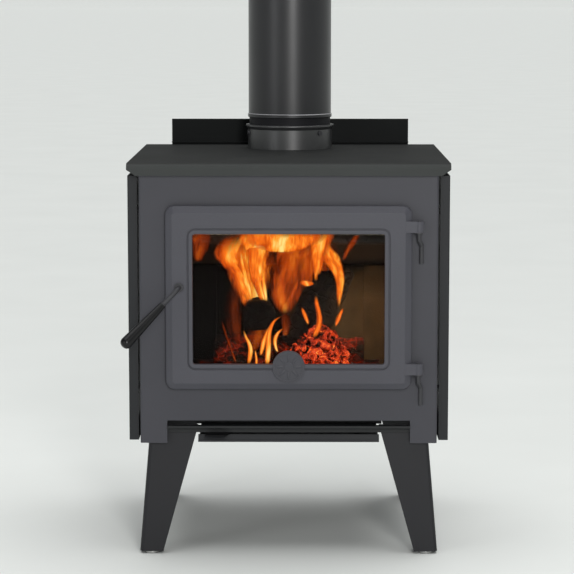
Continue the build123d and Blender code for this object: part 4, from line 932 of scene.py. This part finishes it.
class STOVE_OT_lay_blanket(Step, bpy.types.Operator):
    """Lay the ceramic wool blanket on the baffle board"""

    bl_idname = "stove.lay_blanket"
    bl_label = "Lay Blanket"

    def make(self, colours, sizes):
        rumple = sizes.rumple
        low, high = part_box("baffle_blanket")
        size = high - low
        blanket = fresh(bpy.ops.mesh.primitive_cube_add, size=1.0, location=(low + high) / 2)
        blanket.scale = (size.x - rumple, size.y - rumple, size.z - rumple)
        settle(blanket)
        edit(blanket)
        bpy.ops.mesh.subdivide(number_cuts=30)
        bpy.ops.object.mode_set(mode="OBJECT")
        rough_up(blanket, 0.05, rumple)
        rough_up(blanket, 0.012, rumple / 3)
        subdivide(blanket, 1)
        material = spun_fibre("ceramic_wool", tuple(colours.wool), 500.0, 0.6)
        finish_piece(blanket, "wool_blanket", material, "stove")
        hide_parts("baffle_blanket")


class STOVE_OT_mount_rosette(Step, bpy.types.Operator):
    """Mount the plain petal rosette in the badge's dish"""

    bl_idname = "stove.mount_rosette"
    bl_label = "Mount Rosette"

    def make(self, colours, sizes):
        centre = Vector(((badge_low.x + badge_high.x) / 2, badge_low.y, (badge_low.z + badge_high.z) / 2))
        radius = (badge_high.x - badge_low.x) / 2
        petals = []
        for index in range(sizes.petal_count):
            petal = fresh(bpy.ops.mesh.primitive_uv_sphere_add, segments=16, ring_count=8, radius=1.0)
            petal.scale = (radius * 0.105, 0.0011, radius * 0.26)
            settle(petal)
            edit(petal)
            bpy.ops.transform.translate(value=(0, 0, radius * 0.55))
            turn = 2 * math.pi * index / sizes.petal_count
            bpy.ops.transform.rotate(value=turn, orient_axis="Y", center_override=(0, 0, 0))
            bpy.ops.transform.translate(value=centre + Vector((0, 0.0011, 0)))
            bpy.ops.object.mode_set(mode="OBJECT")
            petals.append(petal)
        rosette = join(petals)
        material = bpy.data.materials["badge_cast_paint"]
        finish_piece(rosette, "badge_rosette", material, "door")


# ---- operators: the fire ----
def split_log(name, start, end, radius, split_at, seed, material):
    """A split log from start to end: a rough round billet with its split face cut flat."""
    along = end - start
    log = fresh(bpy.ops.mesh.primitive_cylinder_add, vertices=14, radius=radius, depth=along.length)
    edit(log)
    bpy.ops.mesh.select_all(action="DESELECT")
    for step in range(1, 8):
        bpy.ops.mesh.select_all(action="SELECT")
        height = along.length * (step / 8 - 0.5)
        bpy.ops.mesh.bisect(plane_co=(0, 0, height), plane_no=(0.05, 0.08, 1))
    bpy.ops.mesh.select_all(action="SELECT")
    bpy.ops.mesh.bisect(
        plane_co=(split_at * radius, 0, 0), plane_no=(1, 0.15, 0.03), use_fill=True, clear_outer=True
    )
    bpy.ops.mesh.select_all(action="SELECT")
    bpy.ops.transform.vertex_random(offset=radius * 0.09, uniform=0.2, seed=seed)
    bpy.ops.object.mode_set(mode="OBJECT")
    modify(log, "BEVEL", width=radius * 0.07, segments=2, limit_method="ANGLE", angle_limit=math.radians(35))
    modify(log, "REMESH", mode="VOXEL", voxel_size=radius * 0.09)
    rough_up(log, radius * 0.5, radius * 0.16)
    rough_up(log, radius * 0.13, radius * 0.07)
    log.rotation_mode = "QUATERNION"
    log.rotation_quaternion = along.to_track_quat("Z", "Y")
    log.location = (start + end) / 2
    settle(log)
    return finish_piece(log, name, material, "stove", math.radians(80))


class STOVE_OT_stack_logs(Step, bpy.types.Operator):
    """Stack the burning split logs on the brick floor"""

    bl_idname = "stove.stack_logs"
    bl_label = "Stack Logs"

    def make(self, colours, sizes):
        charred = burning_wood("charred_log", 55.0, 0.04, 1.0)
        glowing = burning_wood("glowing_log", 70.0, 0.26, 1.0)

        def spot(x, depth, z):
            return Vector((x * MM, behind(depth), z * MM))

        split_log("log_bottom", spot(-150, 320, 342), spot(150, 290, 340), 0.037, 0.7, 3, glowing)
        split_log("log_front", spot(-125, 190, 335), spot(35, 165, 335), 0.030, 0.6, 9, glowing)
        split_log("log_end_on", spot(-58, 175, 438), spot(-66, 400, 420), 0.031, 0.75, 5, charred)
        split_log("log_leaning", spot(18, 215, 368), spot(92, 300, 520), 0.043, 0.55, 7, charred)


class STOVE_OT_heap_coals(Step, bpy.types.Operator):
    """Heap the glowing coals and ash under the logs"""

    bl_idname = "stove.heap_coals"
    bl_label = "Heap Coals"

    def make(self, colours, sizes):
        heaps = {"coal_heap": [], "spent_coals": []}
        chance = Chance(11)
        for _ in range(sizes.coal_count):
            radius = sizes.coal * chance.between(0.55, 1.25)
            if chance.next() < 0.6:
                coals = heaps["coal_heap"]
                x = chance.between(0.002, 0.114)
                depth = chance.between(120, 240)
                sideways = (x - HEAP_X) / HEAP_HALF_WIDTH
                inwards = (depth - HEAP_DEPTH) / HEAP_HALF_DEPTH
                height = HEAP_HEIGHT * max(0.0, 1 - sideways**2 - inwards**2)
            else:
                coals = heaps["spent_coals"]
                x = chance.between(-BED_HALF_WIDTH, BED_HALF_WIDTH)
                depth = chance.between(120, 400)
                height = chance.between(0.0, 0.022)
            coal = fresh(
                bpy.ops.mesh.primitive_ico_sphere_add,
                subdivisions=2,
                radius=radius,
                location=(x, behind(depth), FIRE_FLOOR + radius * 0.8 + height),
                rotation=(chance.between(0, 3), chance.between(0, 3), chance.between(0, 3)),
            )
            coal.scale = (1.0, chance.between(0.6, 0.9), chance.between(0.5, 0.8))
            coals.append(coal)
        embers = {
            "coal_heap": burning_wood("glowing_coal", 150.0, 1.32, 1.0, patch=55.0, veins=0.35),
            "spent_coals": burning_wood("spent_coal", 110.0, 0.30, 1.0, patch=40.0, veins=0.5),
        }
        for name, coals in heaps.items():
            heap = join(coals)
            settle(heap)
            rough_up(heap, 0.016, 0.010)
            rough_up(heap, 0.006, 0.005)
            finish_piece(heap, name, embers[name], "stove", math.radians(25))
        bed = fresh(bpy.ops.mesh.primitive_grid_add, x_subdivisions=60, y_subdivisions=60, size=1.0)
        bed.scale = (0.37, 0.33, 1.0)
        bed.location = (0, behind(262), FIRE_FLOOR + 0.008)
        settle(bed)
        rough_up(bed, 0.05, 0.014)
        rough_up(bed, 0.010, 0.006)
        modify(bed, "SOLIDIFY", thickness=0.008, offset=-1.0)
        ash = burning_wood("ash_bed", 90.0, 0.25, 1.0)
        finish_piece(bed, "ash_bed", ash, "stove")


def flame(name, spine, heat, lean, material, thickness=0.35, sides=12):
    """A tongue of flame, bowed towards the front and open behind.
    spine is a list of (x, depth, z, half width), in millimetres, from its foot up."""
    rings = [(Vector((x * MM, behind(depth), z * MM)), half * MM) for x, depth, z, half in spine]
    centre, half = rings[0]
    tongue = fresh(bpy.ops.mesh.primitive_circle_add, vertices=sides, radius=1.0, location=centre)
    tongue.scale = (half, half * thickness, 1.0)
    settle(tongue)
    edit(tongue)
    bpy.ops.mesh.bisect(plane_co=centre, plane_no=(0, 1, 0), clear_outer=True)
    for (low, small), (high, large) in zip(rings, rings[1:]):
        bpy.ops.mesh.select_all(action="DESELECT")
        bpy.ops.object.mode_set(mode="OBJECT")
        for vertex in tongue.data.vertices[-(sides // 2 + 1):]:
            vertex.select = True
        bpy.ops.object.mode_set(mode="EDIT")
        bpy.ops.mesh.extrude_edges_move(TRANSFORM_OT_translate={"value": high - low})
        ratio = large / small
        bpy.ops.transform.resize(value=(ratio, ratio, 1.0), center_override=high)
    bpy.ops.object.mode_set(mode="OBJECT")
    climbed = [0.0]
    for (low, _), (high, _) in zip(rings, rings[1:]):
        climbed.append(climbed[-1] + (high - low).length)
    values = {"core": [], "hot": [], "rise": [], "haze": [], "flow": []}
    for index, vertex in enumerate(tongue.data.vertices):
        ring = index // (sides // 2 + 1)
        centre, half = rings[ring]
        across = max(-1.0, min(1.0, (vertex.co.x - centre.x) / half))
        values["core"].append(1.0 - across**2)
        values["hot"].append(heat - abs(across - lean) / (1.0 + abs(lean)))
        values["rise"].append(climbed[ring] / climbed[-1])
        values["haze"].append(min(1.0, heat * 1.3))
        inwards = vertex.co.y - centre.y + centre.x
        values["flow"].extend((across * half + centre.x * 0.3, climbed[ring], inwards))
    for label, numbers in values.items():
        kind, field = ("FLOAT_VECTOR", "vector") if label == "flow" else ("FLOAT", "value")
        tongue.data.attributes.new(label, kind, "POINT").data.foreach_set(field, numbers)
    subdivide(tongue, 3)
    return tongue


FLAME_STOPS = [
    (0.0, (0.004, 0.001, 0.0005)),
    (0.15, (0.045, 0.005, 0.001)),
    (0.32, (0.20, 0.020, 0.002)),
    (0.50, (0.58, 0.070, 0.005)),
    (0.68, (0.92, 0.18, 0.010)),
    (0.84, (1.0, 0.40, 0.045)),
    (1.0, (1.0, 0.75, 0.24)),
]

# Each tongue: its heat, where its hottest line lies across it from -1 to 1, and then
# (x, depth, z, half width) from its foot up, in millimetres.
BRIGHT_TONGUES = {
    "flame_left_sweep": (0.86, 0.55, [
        (-79, 215, 458, 4), (-84, 205, 475, 7.9), (-90, 190, 495, 11.8), (-99, 170, 517, 16.4),
        (-110, 145, 538, 21.8), (-120, 120, 558, 28.6), (-117, 100, 578, 28.5), (-107, 88, 595, 29.1),
        (-98, 78, 611, 22.9),
    ]),
    "flame_left_streak": (1.22, 0.2, [
        (-74, 205, 462, 2.4), (-77, 195, 478, 3.9), (-82, 180, 498, 5.9), (-86, 165, 518, 6.3),
        (-90, 150, 537, 5.1), (-92, 132, 557, 3.5), (-94, 120, 574, 1.9),
    ]),
    "flame_second": (0.88, 0.5, [
        (-51, 225, 457, 5.6), (-55, 212, 474, 9.5), (-60, 195, 494, 12.6), (-64, 172, 517, 15.7),
        (-65, 148, 540, 18.7), (-63, 122, 562, 20.9), (-59, 98, 584, 21.5), (-56, 84, 603, 20.7),
        (-55, 78, 613, 15.3),
    ]),
    "flame_second_streak": (1.18, 0.3, [
        (-45, 212, 460, 2.4), (-47, 202, 475, 3.9), (-50, 188, 495, 5.5), (-53, 172, 517, 5.9),
        (-55, 155, 539, 4.7), (-57, 138, 560, 3.1),
    ]),
    "flame_crown_band": (0.98, 0.0, [
        (-14, 110, 571, 27), (-13, 102, 581, 57.7), (-12, 92, 593, 84.4), (-12, 84, 604, 91.8),
        (-12, 76, 616, 88.6),
    ]),
    "flame_crown_brow": (1.06, 0.1, [
        (-69, 124, 566, 7.7), (-64, 106, 579, 24.6), (-58, 92, 594, 44.5), (-52, 84, 606, 53.6),
        (-48, 76, 616, 48.9),
    ]),
    "flame_crown_right": (1.1, 0.0, [
        (56, 152, 521, 5.5), (56, 134, 540, 10.9), (57, 116, 558, 17), (59, 100, 576, 20.8),
        (62, 90, 591, 21.5), (67, 82, 603, 23.7), (69, 76, 616, 22.1),
    ]),
    "flame_column": (1.16, 0.0, [
        (53, 190, 503, 2.4), (53, 178, 521, 5.1), (53, 158, 542, 7.4), (51, 132, 565, 9.3),
        (50, 110, 585, 9.2), (48, 95, 602, 6.1),
    ]),
    "flame_shoulder": (1.16, 0.25, [
        (97, 215, 446, 2.4), (99, 206, 469, 5.9), (100, 194, 490, 7.9), (100, 178, 512, 11),
        (94, 158, 533, 16.4), (86, 138, 549, 21), (77, 120, 566, 20.1), (68, 102, 583, 14.6),
        (62, 92, 602, 9.2),
    ]),
    "flame_low_left": (1.12, 0.2, [
        (-79, 140, 347, 3.5), (-77, 142, 360, 5.1), (-74, 145, 374, 5.5), (-78, 150, 388, 4.3),
        (-85, 156, 400, 2.7), (-90, 162, 413, 1.2),
    ]),
    "flame_low_stem": (1.05, 0.0, [
        (-64, 135, 347, 2.7), (-63, 137, 358, 3.1), (-65, 140, 368, 2), (-66, 143, 376, 0.8),
    ]),
    "flame_low_middle": (1.08, 0.1, [
        (-43, 132, 347, 3.9), (-41, 134, 364, 5.5), (-40, 136, 382, 5.9), (-40, 140, 399, 5.5),
        (-37, 146, 416, 5.1), (-31, 152, 430, 4.3), (-21, 158, 437, 2.7), (-13, 162, 439, 1.2),
    ]),
    "flame_low_side": (0.92, 0.0, [
        (-56, 150, 362, 2.3), (-52, 150, 378, 5.1), (-49, 152, 393, 5.5), (-43, 156, 408, 3.9),
        (-39, 160, 420, 1.6),
    ]),
    "flame_low_hook": (1.06, 0.0, [
        (-22, 128, 373, 1.9), (-27, 130, 385, 3.5), (-28, 134, 396, 4.3), (-24, 138, 407, 4.7),
        (-16, 142, 415, 3.9), (-11, 146, 417, 1.6),
    ]),
    "flame_leaf_left": (0.98, 0.0, [
        (38, 150, 424, 1.6), (34, 152, 435, 5.5), (30, 154, 445, 5.5), (25, 156, 458, 1.6),
    ]),
    "flame_snake": (1.02, 0.1, [
        (49, 142, 399, 4.7), (56, 145, 416, 7.8), (61, 148, 433, 7.4), (58, 150, 449, 6.2),
        (54, 152, 464, 5.9), (52, 155, 482, 2),
    ]),
    "flame_leaf_right": (0.96, 0.0, [
        (91, 158, 418, 1.6), (95, 158, 430, 5.9), (100, 160, 443, 5.9), (106, 162, 456, 1.6),
    ]),
    "flame_edge_lick": (1.02, 0.0, [
        (37, 170, 497, 6.3), (36, 168, 502, 17.2), (34, 166, 506, 15.6), (30, 164, 510, 4.7),
    ]),
}
DIM_TONGUES = {
    "flame_corner": (0.42, 0.0, [
        (-177, 122, 550, 7), (-174, 110, 568, 15.4), (-170, 97, 587, 21.5), (-168, 86, 604, 23),
        (-168, 78, 616, 20.6),
    ]),
    "flame_back_left": (0.9, 0.2, [
        (-78, 300, 436, 12.1), (-77, 296, 457, 28.2), (-79, 284, 483, 40.2), (-80, 258, 514, 47.9),
        (-80, 225, 546, 51.5), (-77, 195, 573, 54.2), (-75, 180, 591, 52.9),
    ]),
    "flame_back_middle": (0.6, 0.0, [
        (-9, 312, 422, 12.2), (-7, 306, 445, 28.3), (-4, 294, 473, 41.9), (3, 272, 504, 51.3),
        (11, 242, 536, 54.9), (14, 206, 568, 56), (15, 178, 591, 52.4),
    ]),
    "flame_mottle": (0.5, -0.4, [
        (-14, 250, 447, 5.6), (-12, 242, 466, 15.1), (-7, 230, 490, 23.8), (0, 212, 512, 27.7),
        (8, 194, 536, 27.5), (14, 176, 558, 25.1),
    ]),
    "flame_mottle_right": (0.44, 0.3, [
        (31, 235, 485, 5.6), (32, 228, 497, 17.5), (32, 215, 518, 24.5), (31, 198, 541, 24.4),
        (30, 180, 561, 20.4),
    ]),
    "flame_back_right": (0.34, 0.0, [
        (75, 322, 412, 8.9), (75, 316, 438, 20.3), (73, 302, 468, 26.6), (72, 282, 499, 29.7),
        (71, 252, 531, 31.9), (71, 216, 563, 31.6), (70, 190, 586, 27.5),
    ]),
    "flame_red_wisp": (0.42, 0.0, [
        (105, 137, 551, 3.1), (110, 126, 566, 7), (117, 116, 582, 9.3), (126, 105, 595, 9.2),
        (133, 92, 612, 6.9),
    ]),
    "flame_veil": (0.2, 0.2, [
        (-100, 270, 359, 4), (-110, 272, 383, 13.7), (-115, 275, 409, 20.1), (-115, 278, 437, 23.3),
        (-110, 275, 466, 21.7), (-104, 270, 493, 14.4),
    ]),
    "flame_thread": (0.4, 0.0, [
        (-103, 150, 348, 3.1), (-111, 152, 369, 3.9), (-120, 155, 393, 3.9), (-127, 158, 414, 3.1),
        (-132, 160, 432, 1.2),
    ]),
    "flame_under_log": (0.3, 0.0, [
        (-72, 200, 362, 6.3), (-67, 205, 383, 17.4), (-61, 210, 402, 23), (-56, 212, 422, 19),
        (-51, 214, 434, 10.3),
    ]),
    "flame_pink_glow": (0.34, 0.0, [
        (-8, 180, 397, 5.5), (-4, 185, 414, 12.6), (-5, 190, 431, 12.6), (-10, 195, 442, 5.5),
    ]),
}


class STOVE_OT_light_fire(Step, bpy.types.Operator):
    """Raise the tongues of flame over the logs"""

    bl_idname = "stove.light_fire"
    bl_label = "Light Fire"

    def make(self, colours, sizes):
        bright = flame_gas("bright_flame", 1.12)
        dim = flame_gas("dim_flame", 0.9)
        for material, tongues in ((bright, BRIGHT_TONGUES), (dim, DIM_TONGUES)):
            for name, (heat, lean, spine) in tongues.items():
                tongue = flame(name, spine, heat, lean, material)
                finish_piece(tongue, name, material, "stove", math.pi)


# ---- operator: the stage ----
def softbox(name, place, aim, size, power, colour=(1.0, 1.0, 1.0)):
    lamp = bpy.data.lights.new(name, "AREA")
    lamp.shape = "RECTANGLE"
    lamp.size, lamp.size_y = size
    lamp.energy = power
    lamp.color = colour
    holder = bpy.data.objects.new(name, lamp)
    bpy.context.scene.collection.objects.link(holder)
    holder.location = place
    holder.rotation_euler = (Vector(aim) - Vector(place)).to_track_quat("-Z", "Y").to_euler()
    return holder


class STOVE_OT_set_stage(Step, bpy.types.Operator):
    """Set the floor, the soft studio light and the camera"""

    bl_idname = "stove.set_stage"
    bl_label = "Set Stage"

    def make(self, colours, sizes):
        scene = bpy.context.scene
        floor = fresh(
            bpy.ops.mesh.primitive_circle_add,
            vertices=96,
            radius=2 * FLOOR_RADIUS,
            fill_type="NGON",
            location=(0, 0, FLOOR_RIM),
        )
        edit(floor)
        bpy.ops.mesh.inset(thickness=FLOOR_RADIUS, depth=-FLOOR_RIM)
        bpy.ops.object.mode_set(mode="OBJECT")
        floor.name = "studio_floor"
        material, tree, shader = new_material("pale_floor")
        tone = noise(tree, place_of(tree), 2.5, detail=3.0)
        plug(tree, shader.inputs["Base Color"], blend(tree, tone, (0.70, 0.72, 0.70), (0.76, 0.78, 0.76)))
        shader.inputs["Roughness"].default_value = 0.75
        floor.data.materials.append(material)

        softbox("key_softbox", (0.7, -4.4, 1.9), (0, 0, 0.6), (0.7, 1.9), 92.0, (1.0, 0.99, 0.98))
        softbox("fill_softbox", (-2.6, -2.6, 1.4), (0, 0, 0.5), (1.2, 1.8), 14.0, (0.97, 0.98, 1.0))
        sun = bpy.data.lights.new("sky_panel", "SUN")
        sun.energy = 2.7
        sun.angle = math.radians(70)
        sky = bpy.data.objects.new("sky_panel", sun)
        scene.collection.objects.link(sky)
        sky.rotation_euler = (math.radians(-8), math.radians(6), 0)

        hearth = bpy.data.lights.new("firelight", "POINT")
        hearth.energy = 1.1
        hearth.color = (1.0, 0.55, 0.25)
        hearth.shadow_soft_size = 0.05
        glow = bpy.data.objects.new("firelight", hearth)
        scene.collection.objects.link(glow)
        glow.location = (0.165, behind(250), 0.45)
        glow.visible_camera = False
        glow.visible_glossy = False
        glow.visible_transmission = False

        world = bpy.data.worlds.new("studio")
        scene.world = world
        world.use_nodes = True
        world.node_tree.nodes["Background"].inputs["Color"].default_value = (0.80, 0.84, 0.83, 1.0)
        world.node_tree.nodes["Background"].inputs["Strength"].default_value = 0.16

        camera = bpy.data.objects.new("camera", bpy.data.cameras.new("camera"))
        scene.collection.objects.link(camera)
        camera.location = (CAMERA_SIDE, apron_front - CAMERA_BACK, CAMERA_HEIGHT)
        camera.rotation_euler = (math.radians(90 - CAMERA_TILT), 0, math.radians(CAMERA_TURN))
        camera.data.lens = CAMERA_LENS
        camera.data.sensor_width = 36.0
        scene.camera = camera
        scene.view_settings.view_transform = "Standard"


STEPS = [
    STOVE_OT_set_stage,
    STOVE_OT_paint_casing,
    STOVE_OT_paint_door,
    STOVE_OT_finish_flue,
    STOVE_OT_finish_steelwork,
    STOVE_OT_finish_lining,
    STOVE_OT_glaze_door,
    STOVE_OT_lay_door_rope,
    STOVE_OT_wrap_glass_tape,
    STOVE_OT_lay_blanket,
    STOVE_OT_mount_rosette,
    STOVE_OT_stack_logs,
    STOVE_OT_heap_coals,
    STOVE_OT_light_fire,
]


class STOVE_PT_workshop(bpy.types.Panel):
    """The stove's steps and sizes, in the 3D view's sidebar"""

    bl_idname = "STOVE_PT_workshop"
    bl_label = "Wood Stove"
    bl_space_type = "VIEW_3D"
    bl_region_type = "UI"
    bl_category = "Stove"

    def draw(self, context):
        for step in STEPS:
            self.layout.operator(step.bl_idname)
        for group in (context.scene.stove_colours, context.scene.stove_sizes):
            column = self.layout.column()
            for name in group.__annotations__:
                column.prop(group, name)


CLASSES = [StoveColours, StoveSizes, *STEPS, STOVE_PT_workshop]


def register():
    for made in CLASSES:
        bpy.utils.register_class(made)
    bpy.types.Scene.stove_colours = bpy.props.PointerProperty(type=StoveColours)
    bpy.types.Scene.stove_sizes = bpy.props.PointerProperty(type=StoveSizes)


def unregister():
    del bpy.types.Scene.stove_colours
    del bpy.types.Scene.stove_sizes
    for made in reversed(CLASSES):
        bpy.utils.unregister_class(made)


def main():
    register()
    for step in STEPS:
        family, name = step.bl_idname.split(".")
        getattr(getattr(bpy.ops, family), name)()


if __name__ == "__main__":
    main()
